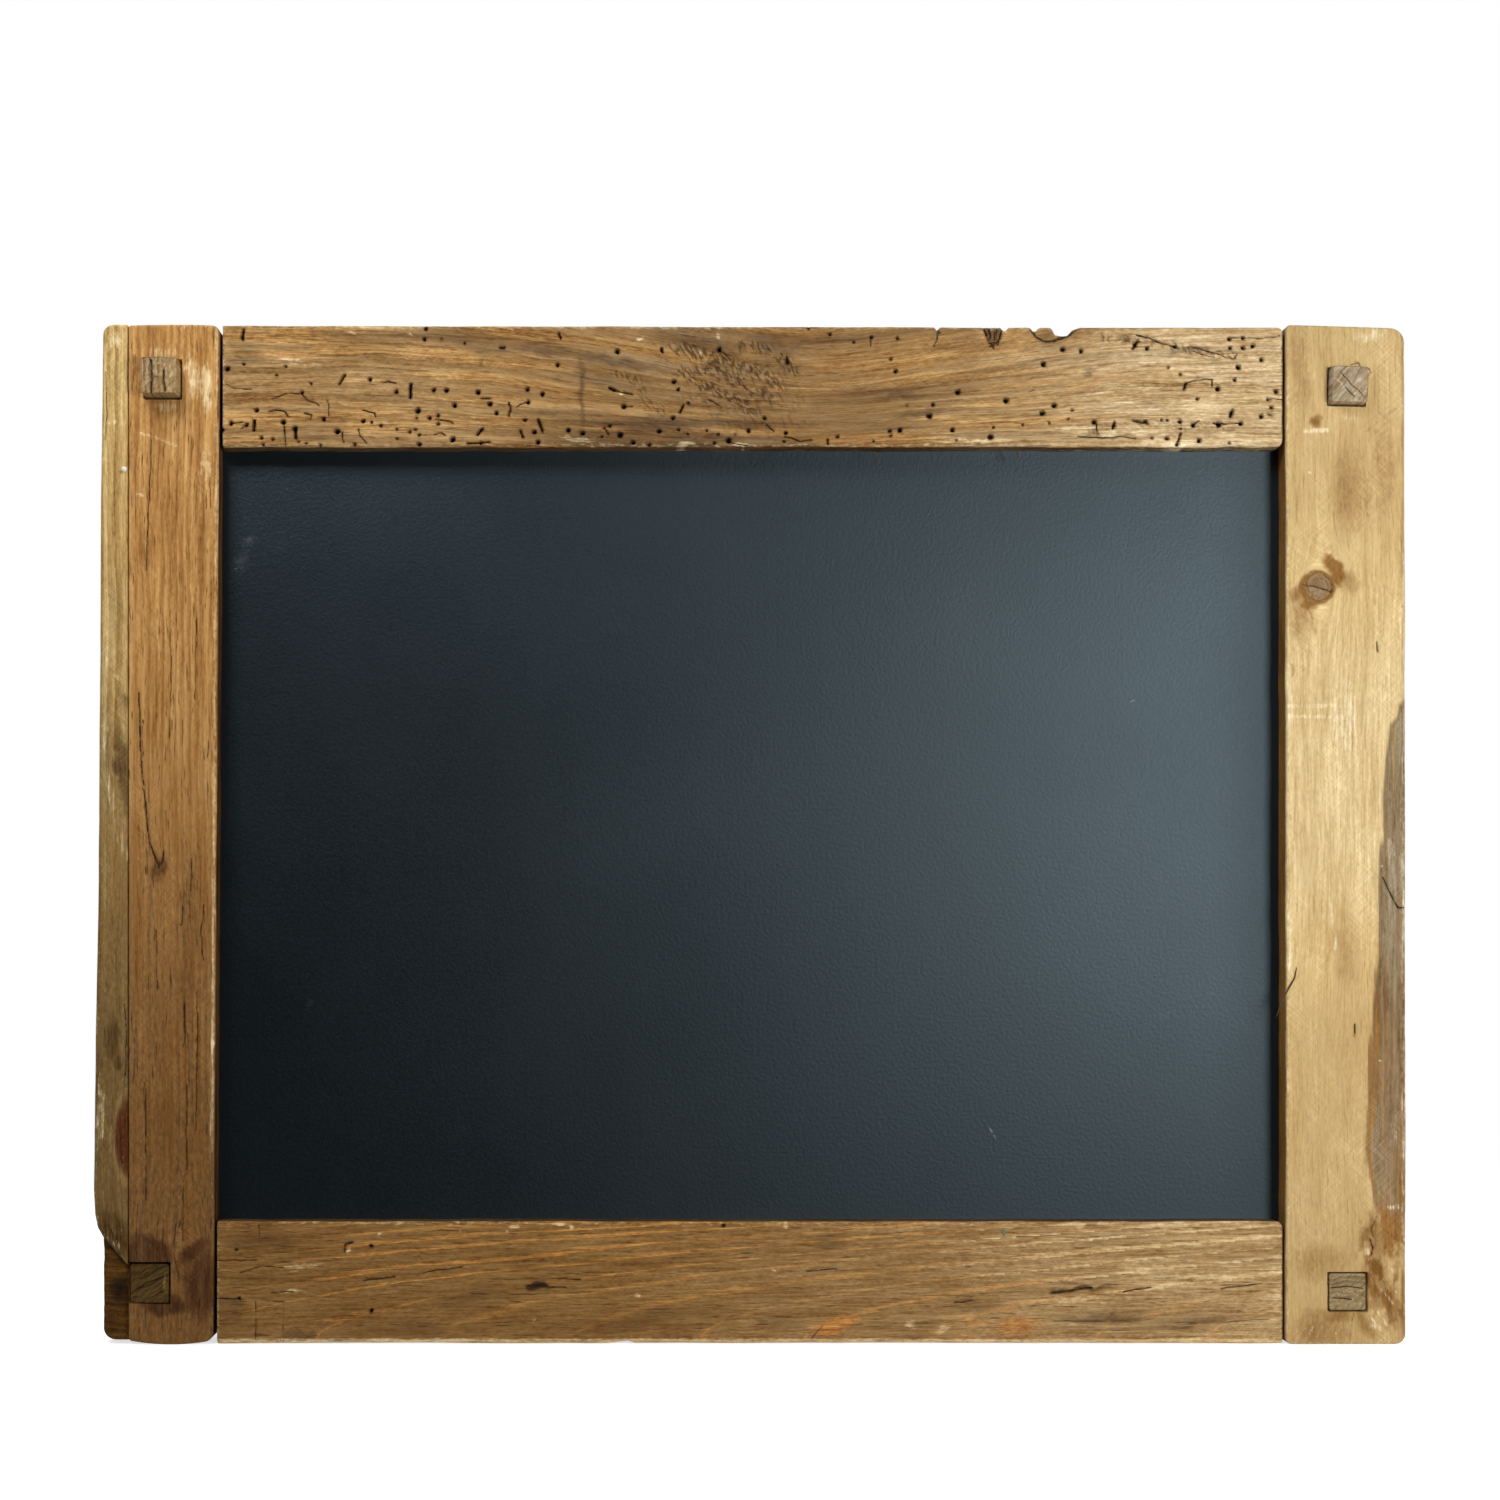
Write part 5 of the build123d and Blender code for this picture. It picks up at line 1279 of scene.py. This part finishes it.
# Painted shade on the rail's ends at the shoulders.
marks["dark"] += PAINTED_SHADE * eased((np.abs(x) - BOTTOM_SHOULDERS[1] + SHOULDER_SHADE_REACH) / SHOULDER_FADE)
# Painted light: the rail lightens towards its right end.
marks["painted_light"] = 0.12 * eased((x + 60) / 120) + 0.3 * eased((x - 60) / 180)
marks["bore"] = np.where(face > 0.5, bored(x, z, NAIL_HOLES, [], RAIL_FACE), FAR)
marks["near"], marks["split"] = splits(x, z, BOTTOM_CRACKS, RAIL_FACE)
rough = patch(x, z, 265, 1280, 60, 34, RAIL_FACE) + 0.7 * patch(x, z, 1160, 1285, 130, 34, RAIL_FACE)
y += face * (0.6 * (lumps(x / 70, flow / 10, 78) - 0.35) + 0.16 * (lumps(x / 10, flow / 1.7, 79) - 0.5))
y += face * rough * 0.6 * (lumps(x / 6, flow / 1.6, 80) - 0.35)
y += face * (2.2 * eased(0.35 - marks["bore"] / 0.8) + 0.6 * eased(1.7 - marks["near"]))
bottom_wood = old_wood(
    "slant_sawn_board",
    {"Early wood": (145, 107, 58), "Late wood": (200, 142, 72), "Worn and lit wood": (226, 197, 146),
     "Stain and shade": (90, 64, 33), "Heartwood": (182, 122, 60)},
    late_share=0.15, figure=1.35, fibre=1.25, streak=0.8, pores=0.7, scuff=0.6, relief=0.9)
finish_board("bottom_rail_worn", "bottom_rail", bottom_wood, x, y, z, marks)


# Green paint fleck near the bottom rail's upper arris: what is left of an older coat of paint.
# It is thin, longer than wide, and keyed into the wood.
paint_speck("green_paint_fleck", (1004, 1232), RAIL_FACE, half_wide=0.8, half_high=2.4,
            thick=0.55, dull=(62, 104, 84), bright=(92, 150, 122))


# Corner pegs: square hardwood pins driven right through the joints to lock the tenons. The upper two
# stand proud of the face, the lower two were cut off just under it, and each was split from other wood.
# At the back their sawn ends stand a hair proud of the stiles.
PEG_ARRIS = 0.8
PEG_CORNER = 0.12
PEG_BACK = STILE_BACK + 0.12
PEG_SIDE_POINTS = 26
PEG_FRONT_RINGS = 26
PEG_ARRIS_RINGS = 5
PEG_SHANK_RINGS = 9
PEG_SIDE_GAP = 1.5


def square_pin(side, front):
    """Rings of a square pin with rounded corners: they grow from a point in the middle of the front end,
    turn over a small arris, run back and close to a point again. Returns how far each point lies from the
    pin's middle, sideways and upwards, its depth, and the share that is front."""
    run, whole = np.linspace(-1, 1, PEG_SIDE_POINTS + 1)[:-1], np.ones(PEG_SIDE_POINTS)
    edge_u, edge_v = np.concatenate([run, whole, -run, -whole]), np.concatenate([-whole, run, whole, -run])
    held_u, held_v = (np.clip(edge, PEG_CORNER - 1, 1 - PEG_CORNER) for edge in (edge_u, edge_v))
    share = PEG_CORNER / np.hypot(edge_u - held_u, edge_v - held_v)
    edge_u, edge_v = held_u + share * (edge_u - held_u), held_v + share * (edge_v - held_v)
    turn = np.linspace(0, math.pi / 2, PEG_ARRIS_RINGS + 1)[1:]
    flat = side / 2 - PEG_ARRIS
    reach = [np.linspace(0, flat, PEG_FRONT_RINGS), flat + PEG_ARRIS * np.sin(turn),
             np.full(PEG_SHANK_RINGS, side / 2), [side / 4, 0]]
    depth = [np.full(PEG_FRONT_RINGS, front), front + PEG_ARRIS * (1 - np.cos(turn)),
             np.linspace(front + PEG_ARRIS, PEG_BACK, PEG_SHANK_RINGS + 1)[1:], [PEG_BACK, PEG_BACK]]
    reach, depth = np.concatenate(reach)[:, None], np.concatenate(depth)[:, None]
    is_front = (np.arange(reach.size) < PEG_FRONT_RINGS + 2).astype(float)[:, None]
    return reach * edge_u, reach * edge_v, depth + 0 * edge_u, is_front + 0 * edge_u


# Each peg: name, hole, depth of its front, slope of its grain, colours, grooves and scrapes.
PEGS = [
    ("top_left_peg", LEFT_PEGS[0], -24.5, 90,
     {"Early wood": (184, 154, 108), "Late wood": (120, 88, 54), "Worn and lit wood": (206, 180, 134),
      "Stain and shade": (90, 62, 36), "Heartwood": (120, 88, 54)},
     [([(150.5, 361), (152, 377), (151, 396)], 0.55), ([(164, 371), (163.5, 380), (165, 389)], 0.45)],
     [(146.5, 378, 2.6, 15, 0, 0.8), (169, 388, 8, 4, 30, 0.9), (160, 364, 11, 2.4, 0, 0.6),
      (173, 374, 3, 9, 0, 0.5)]),
    ("top_right_peg", RIGHT_PEGS[0], -20.5, 58,
     {"Early wood": (182, 164, 135), "Late wood": (138, 117, 88), "Worn and lit wood": (208, 190, 156),
      "Stain and shade": (112, 88, 58), "Heartwood": (120, 96, 66)},
     [([(1346, 387), (1354, 396)], 0.14), ([(1340, 371), (1354, 386), (1364, 396)], 0.1)],
     [(1341, 382, 10, 1.8, -45, 1.0), (1356, 393, 8, 1.6, -45, 0.7), (1358, 401, 7, 3, 0, 0.7),
      (1361, 378, 4, 6, 0, 0.6)]),
    ("bottom_left_peg", LEFT_PEGS[1], -14.4, 27,
     {"Early wood": (100, 76, 36), "Late wood": (24, 15, 5), "Worn and lit wood": (138, 108, 58),
      "Stain and shade": (48, 33, 16), "Heartwood": (64, 44, 22)},
     [([(134, 1291), (148, 1283), (163, 1277)], 0.13), ([(140, 1303), (154, 1296), (166, 1290)], 0.12)],
     [(166, 1284, 1.8, 15, 0, 0.9), (150, 1270, 12, 2, 20, 0.5)]),
    ("bottom_right_peg", RIGHT_PEGS[1], -14.6, 3,
     {"Early wood": (166, 145, 107), "Late wood": (124, 103, 70), "Worn and lit wood": (186, 168, 130),
      "Stain and shade": (96, 76, 48), "Heartwood": (110, 90, 60)},
     [([(1332, 1288), (1347, 1286), (1362, 1288)], 0.2), ([(1334, 1298), (1352, 1300)], 0.18)],
     [(1348, 1293, 12, 3, 0, 0.4)]),
]
for number, (name, hole, front, fall, hues, grooves, scrapes) in enumerate(PEGS):
    middle_x, middle_z, half, lean = hole
    u, v, y, face = square_pin(2 * half, front)
    lean, fall = math.radians(lean), math.radians(fall)
    x = middle_x + u * math.cos(lean) - v * math.sin(lean)
    z = middle_z + v * math.cos(lean) + u * math.sin(lean)
    run, cross = u * math.cos(fall) + v * math.sin(fall), v * math.cos(fall) - u * math.sin(fall)
    cross += 2.4 * (lumps(run / 7, cross / 5, 103 + number) - 0.5)
    arris_gap = np.where(face > 0.5, half - np.maximum(np.abs(u), np.abs(v)), PEG_SIDE_GAP)
    ring = cross / 2.3 + 0.6 * lumps(run / 7, cross / 3, 91 + number)
    grain_run, grain_cross = np.where(face > 0.5, run, y), np.where(face > 0.5, cross, u + v) + 40 * number
    marks = plain_marks(grain_run, grain_cross, u - v, ring, arris_gap, 0.9)
    marks["pale"] = face * patches(x, z, scrapes, front)
    marks["near"], marks["split"] = splits(x, z, grooves, front)
    marks["near"] = np.where(face > 0.5, marks["near"], FAR)
    ridge = 0.5 * lumps(run / 9, cross / 1.3, 95 + number) + 0.4 * lumps(run / 5, cross / 4, 99 + number)
    y += face * (ridge + 0.7 * eased(1.7 - marks["near"]))
    peg_wood = old_wood(name + "_wood", hues, late_share=0.5, figure=0.9, fibre=1.2, streak=1.0, pores=0.5,
                        scuff=0.4, relief=0.9)
    finish_board(name + "_worn", name, peg_wood, x, y, z, marks)


# Writing panel: a thin hardboard sheet rolled with matt black blackboard paint, which leaves a fine
# stipple, and laid in the rebate from behind. Its back is bare. Dusters have roughened the paint more
# towards the right, most of all in the last finger's width by the right stile.
PANEL_FACE = -2.0
PANEL_BACK = 4.0
PANEL_MIDDLE = (0.0, 1.0)
PANEL_STEP = 2.4
PANEL_ARRIS = 0.4
PAINT_DARK = (0.0012, 0.0018, 0.0023, 1)
PAINT_LIGHT = (0.0026, 0.0038, 0.0047, 1)
PAINT_CLOUD = (0.004, 0.0056, 0.0068, 1)
CHALK_SMUDGE = (0.055, 0.06, 0.063, 1)
CHALK_SCRATCH = (0.16, 0.16, 0.15, 1)
PAINT_GLEAM = (0.61, 0.835, 1.0, 1)
PAINT_IOR = 1.62
PANEL_SMUDGES = [
    (240, 562, 7, 14, -20, 0.9), (246, 540, 8, 6, 20, 1.1), (280, 546, 8, 2.4, 0, 0.5),
    (1166, 1014, 12, 6, 20, 0.4), (1210, 992, 5, 5, 0, 0.7), (309, 1004, 5, 5, 0, 0.5),
    (700, 800, 260, 90, 12, 0.09), (980, 640, 160, 60, -16, 0.08),
]
PANEL_SCRATCHES = [
    ([(989, 1127), (996, 1138)], 0.35), ([(1120, 706), (1136, 699)], 0.2),
    ([(241, 540), (246, 537), (248, 541)], 0.16), ([(233, 570), (238, 568)], 0.14),
]

low, high = (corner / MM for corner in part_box("writing_panel"))
along = stations(low.z, high.z, PANEL_STEP)
outer, inner = np.full(along.shape, low.x), np.full(along.shape, high.x)
rows = sawn_board(along, outer, inner, PANEL_FACE, PANEL_BACK, (PANEL_ARRIS, PANEL_ARRIS), PANEL_STEP,
                  None, PANEL_ARRIS)
ends = [(place, *PANEL_MIDDLE) for place in (low.z, high.z)]
z, x, y, face, arris_gap = closed_ends(rows, ends, 0.0)
marks = {"smudge": patches(x, z, PANEL_SMUDGES, PANEL_FACE)}
marks["near"], marks["split"] = splits(x, z, PANEL_SCRATCHES, PANEL_FACE)
y += face * eased(arris_gap / 10) * 0.35 * lumps(x / 90, z / 90, 111, 2)
panel = skin("writing_panel_painted", x, y, z, marks)
paint, tree, shader = new_material("matt_blackboard_paint")
place = put(tree, "TexCoord", {})["Object"]
stipple = put(tree, "TexNoise", {"Vector": place, "Scale": 620.0, "Detail": 3.0, "Roughness": 0.6})[0]
cloud = put(tree, "TexNoise", {"Vector": place, "Scale": 9.0, "Detail": 5.0, "Roughness": 0.6})[0]
smudge = put(tree, "Attribute", {}, attribute_name="smudge")["Fac"]
side = calc(tree, "ABSOLUTE", put(tree, "Attribute", {}, attribute_name="split")["Fac"])
near = put(tree, "Attribute", {}, attribute_name="near")["Fac"]
scratch = calc(tree, "MULTIPLY", ramp(tree, side, 1.6, 0.5), ramp(tree, near, 4.0, 2.4))
tone = blend(tree, ramp(tree, stipple, 0.3, 0.7), PAINT_DARK, PAINT_LIGHT)
tone = blend(tree, ramp(tree, cloud, 0.35, 0.75, 0.0, 0.35), tone, PAINT_CLOUD)
chalk = calc(tree, "MULTIPLY", smudge, ramp(tree, stipple, 0.35, 0.65, 0.2, 0.8))
tone = blend(tree, chalk, tone, CHALK_SMUDGE)
tone = blend(tree, scratch, tone, CHALK_SCRATCH)
fibres = put(tree, "TexNoise", {"Vector": place, "Scale": 260.0, "Detail": 6.0, "Roughness": 0.7})[0]
bare = blend(tree, fibres, colour(84, 58, 37), colour(139, 104, 70))
is_back = ramp(tree, put(tree, "SeparateXYZ", {0: place})["Y"], 0.0012, 0.0016)
tree.links.new(blend(tree, is_back, tone, bare), shader.inputs["Base Color"])
across = put(tree, "SeparateXYZ", {0: place})["X"]
rubbed = ramp(tree, across, -0.28, 0.06, 0.345, 0.46)
rubbed = calc(tree, "ADD", rubbed, ramp(tree, across, 0.0, 0.27, 0.0, 0.06))
rubbed = calc(tree, "ADD", rubbed, ramp(tree, across, 0.225, 0.262, 0.0, 0.07))
rubbed = calc(tree, "ADD", rubbed, ramp(tree, cloud, 0.3, 0.7, -0.015, 0.015))
rough = calc(tree, "MULTIPLY_ADD", stipple, 0.1, rubbed)
rough = calc(tree, "MAXIMUM", rough, calc(tree, "MULTIPLY", is_back, 0.8))
tree.links.new(rough, shader.inputs["Roughness"])
bump = put(tree, "Bump", {"Strength": 0.35, "Distance": 0.0004, "Height": stipple})
tree.links.new(bump[0], shader.inputs["Normal"])
shader.inputs["IOR"].default_value = PAINT_IOR
shader.inputs["Specular IOR Level"].default_value = 1.0
shader.inputs["Specular Tint"].default_value = PAINT_GLEAM
panel.data.materials.append(paint)
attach(panel, "board")
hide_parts("writing_panel")


# Beads behind the panel: strips of planed softwood pinned into the rebate, the long pair from wall to wall
# and the short pair between them. They keep the plain shape of the solids and get the grain of pine.
BEAD_HUES = {"Early wood": (196, 158, 108), "Late wood": (160, 114, 68), "Worn and lit wood": (214, 184, 138),
             "Stain and shade": (120, 86, 54), "Heartwood": (150, 106, 62)}
BEAD_AMOUNTS = {"Late share": 0.4, "Figure": 0.7, "Fibre": 0.7, "Streak": 0.7, "Pores": 0.3, "Scuff": 0.0,
                "Wear": 0.0, "Dark": 0.12, "Pale": 0.0, "Painted light": 0.0, "Heart": 0.0, "Torn": 0.0,
                "Bore": FAR, "Split": FAR, "Near": FAR}
BEAD_RELIEF = 0.3
BEAD_GRAIN_DEPTH = 0.0006
BEAD_SHEEN = 0.3
BEAD_PAIRS = [("X", "Z", ("top_bead", "bottom_bead")), ("Z", "X", ("left_bead", "right_bead"))]

for long_way, cross_way, nodes in BEAD_PAIRS:
    bead_wood, tree, group = wood_material("planed_bead_along_" + long_way.lower(), BEAD_HUES, BEAD_AMOUNTS,
                                           BEAD_RELIEF, BEAD_GRAIN_DEPTH, BEAD_SHEEN)
    way = put(tree, "SeparateXYZ", {0: put(tree, "TexCoord", {})["Object"]})
    grain = [calc(tree, "DIVIDE", way[axis], MM) for axis in (long_way, cross_way, "Y")]
    tree.links.new(put(tree, "CombineXYZ", dict(enumerate(grain)))[0], group.inputs["Grain"])
    slope = calc(tree, "MULTIPLY_ADD", grain[2], 0.21, calc(tree, "MULTIPLY", grain[1], 0.34))
    tree.links.new(calc(tree, "MULTIPLY_ADD", grain[0], 0.004, slope), group.inputs["Ring"])
    for node in nodes:
        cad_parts[node].material_slots[0].material = bead_wood


# Bead pins: panel pins of bright drawn steel wire, driven through the beads into the walls of the rebate.
# They have dulled, and rust has spotted them.
PIN_STEEL = (0.38, 0.38, 0.39, 1)
PIN_RUST = (0.14, 0.055, 0.022, 1)

pin_steel, tree, shader = new_material("spotted_pin_steel")
place = put(tree, "TexCoord", {})["Object"]
spots = put(tree, "TexNoise", {"Vector": place, "Scale": 900.0, "Detail": 4.0, "Roughness": 0.7})[0]
rust = ramp(tree, spots, 0.5, 0.68)
tree.links.new(blend(tree, rust, PIN_STEEL, PIN_RUST), shader.inputs["Base Color"])
tree.links.new(ramp(tree, rust, 0.0, 1.0, 0.38, 0.85), shader.inputs["Roughness"])
tree.links.new(ramp(tree, rust, 0.2, 0.9, 1.0, 0.0), shader.inputs["Metallic"])
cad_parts["bead_pins"].material_slots[0].material = pin_steel


# Strap hangers, their screws and D-rings: pressed mild steel and bent wire, barrel-plated with zinc, so
# they are pale grey with cloudy patches and fine rub marks.
ZINC_DULL = (0.42, 0.43, 0.45, 1)
ZINC_BRIGHT = (0.64, 0.65, 0.67, 1)
HANGER_NODES = ("left_hanger_strap", "right_hanger_strap", "hanger_screws", "left_hanger_ring",
                "right_hanger_ring")

zinc, tree, shader = new_material("plated_zinc")
place = put(tree, "TexCoord", {})["Object"]
cloudy = put(tree, "TexNoise", {"Vector": place, "Scale": 160.0, "Detail": 4.0, "Roughness": 0.6})[0]
drawn = put(tree, "VectorMath", {0: place, 1: (2600.0, 2600.0, 260.0)}, operation="MULTIPLY")[0]
rubs = put(tree, "TexNoise", {"Vector": drawn, "Scale": 1.0, "Detail": 2.0})[0]
tone = blend(tree, ramp(tree, cloudy, 0.3, 0.7), ZINC_DULL, ZINC_BRIGHT)
tree.links.new(tone, shader.inputs["Base Color"])
rough = calc(tree, "MULTIPLY_ADD", rubs, 0.2, ramp(tree, cloudy, 0.3, 0.7, 0.34, 0.2))
tree.links.new(rough, shader.inputs["Roughness"])
bump = put(tree, "Bump", {"Strength": 0.15, "Distance": 0.0002, "Height": rubs})
tree.links.new(bump[0], shader.inputs["Normal"])
shader.inputs["Metallic"].default_value = 1.0
for node in HANGER_NODES:
    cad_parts[node].material_slots[0].material = zinc


# Setting: the board stands on a white sheet that is lost in a white surround. Near the board the sheet
# takes light and shadow; further off it is plain white.
WHITE = (1, 1, 1, 1)
PAPER = (0.9, 0.9, 0.9, 1)
FLOOR_REACH = 8.0
SHEET_GLOW = 0.68
SHEET_LOST = (0.5, 1.1)
ROOM_AHEAD = 0.012
ROOM_EDGE = 0.05

floor_mesh = bpy.data.meshes.new("white_sheet")
corners = [(-FLOOR_REACH, -FLOOR_REACH, 0), (FLOOR_REACH, -FLOOR_REACH, 0), (FLOOR_REACH, FLOOR_REACH, 0),
           (-FLOOR_REACH, FLOOR_REACH, 0)]
floor_mesh.from_pydata(corners, [], [(0, 1, 2, 3)])
floor = bpy.data.objects.new("white_sheet", floor_mesh)
bpy.context.scene.collection.objects.link(floor)
floor_white, tree, shader = new_material("white_paper")
shader.inputs["Base Color"].default_value = PAPER
shader.inputs["Roughness"].default_value = 0.9
shader.inputs["Specular IOR Level"].default_value = 0.1
shader.inputs["Emission Color"].default_value = WHITE
path = put(tree, "LightPath", {})
passed_on = calc(tree, "MAXIMUM", path["Is Glossy Ray"], path["Is Transmission Ray"])
direct = calc(tree, "MAXIMUM", path["Is Camera Ray"], passed_on)
tree.links.new(calc(tree, "MULTIPLY", direct, SHEET_GLOW), shader.inputs["Emission Strength"])
place = put(tree, "TexCoord", {})["Object"]
away = put(tree, "VectorMath", {0: place}, operation="LENGTH")["Value"]
glow = put(tree, "Emission", {"Color": WHITE, "Strength": 1.0})[0]
lost = calc(tree, "MULTIPLY", ramp(tree, away, *SHEET_LOST), direct)
sheet = put(tree, "MixShader", {0: lost, 1: shader.outputs[0], 2: glow})[0]
ahead = ramp(tree, put(tree, "SeparateXYZ", {0: place})["Y"], ROOM_EDGE, -ROOM_EDGE)
unlit = put(tree, "Emission", {"Color": WHITE, "Strength": ROOM_AHEAD})[0]
dimmed = calc(tree, "MULTIPLY", ahead, path["Is Glossy Ray"])
sheet = put(tree, "MixShader", {0: dimmed, 1: sheet, 2: unlit})[0]
tree.links.new(sheet, tree.nodes["Material Output"].inputs["Surface"])
floor_mesh.materials.append(floor_white)


# Surround: white to the eye, and behind the board white to metal too. The room in front of the board is
# dim, which is what its black paint mirrors.
AMBIENT = 0.16

surround = bpy.data.worlds.new("white_surround")
bpy.context.scene.world = surround
surround.use_nodes = True
tree = surround.node_tree
path = put(tree, "LightPath", {})
toward = put(tree, "SeparateXYZ", {0: put(tree, "TexCoord", {})["Generated"]})["Y"]
mirrored = calc(tree, "MULTIPLY", path["Is Glossy Ray"], ramp(tree, toward, -0.3, 0.2))
passed_on = calc(tree, "MAXIMUM", mirrored, path["Is Transmission Ray"])
shown = calc(tree, "MAXIMUM", path["Is Camera Ray"], passed_on)
unseen = ramp(tree, path["Is Glossy Ray"], 0.0, 1.0, AMBIENT, ROOM_AHEAD)
level = calc(tree, "MAXIMUM", shown, unseen)
tree.links.new(level, tree.nodes["Background"].inputs["Strength"])
tree.nodes["Background"].inputs["Color"].default_value = WHITE


# Lights: a soft key lamp from the right, level with the board, a weaker one from the upper left, and one
# behind that lights only its back.
BOARD_MIDDLE = (0.0, 0.0, 0.25)


def soft_lamp(name, place, watts, size, hue):
    """A square area lamp that faces the middle of the board."""
    data = bpy.data.lights.new(name, "AREA")
    data.energy, data.size, data.color = watts, size, hue
    lamp = bpy.data.objects.new(name, data)
    lamp.location = place
    lamp.rotation_euler = (Vector(BOARD_MIDDLE) - lamp.location).to_track_quat("-Z", "Y").to_euler()
    bpy.context.scene.collection.objects.link(lamp)


soft_lamp("key_lamp", place=(0.60, -0.75, 0.35), watts=5.1, size=0.25, hue=(1.0, 0.96, 0.91))
soft_lamp("fill_lamp", place=(-0.45, -0.45, 0.95), watts=4.0, size=0.35, hue=(1.0, 1.0, 1.0))
soft_lamp("back_lamp", place=(0.3, 0.95, 0.45), watts=6.0, size=0.8, hue=(1.0, 1.0, 1.0))


# Camera: level, a little left of the middle and below it, where the eye of the photograph stood.
# Its lens is shifted sideways and upwards to take in the whole board.
camera_data = bpy.data.cameras.new("camera")
camera_data.lens = 54.23
camera_data.sensor_width = 36.0
camera_data.shift_x = 0.0867
camera_data.shift_y = 0.12
camera = bpy.data.objects.new("camera", camera_data)
camera.location = tuple(value * MM for value in EYE)
camera.rotation_euler = (math.pi / 2, 0, 0)
bpy.context.scene.collection.objects.link(camera)
bpy.context.scene.camera = camera
bpy.context.scene.view_settings.view_transform = "Standard"
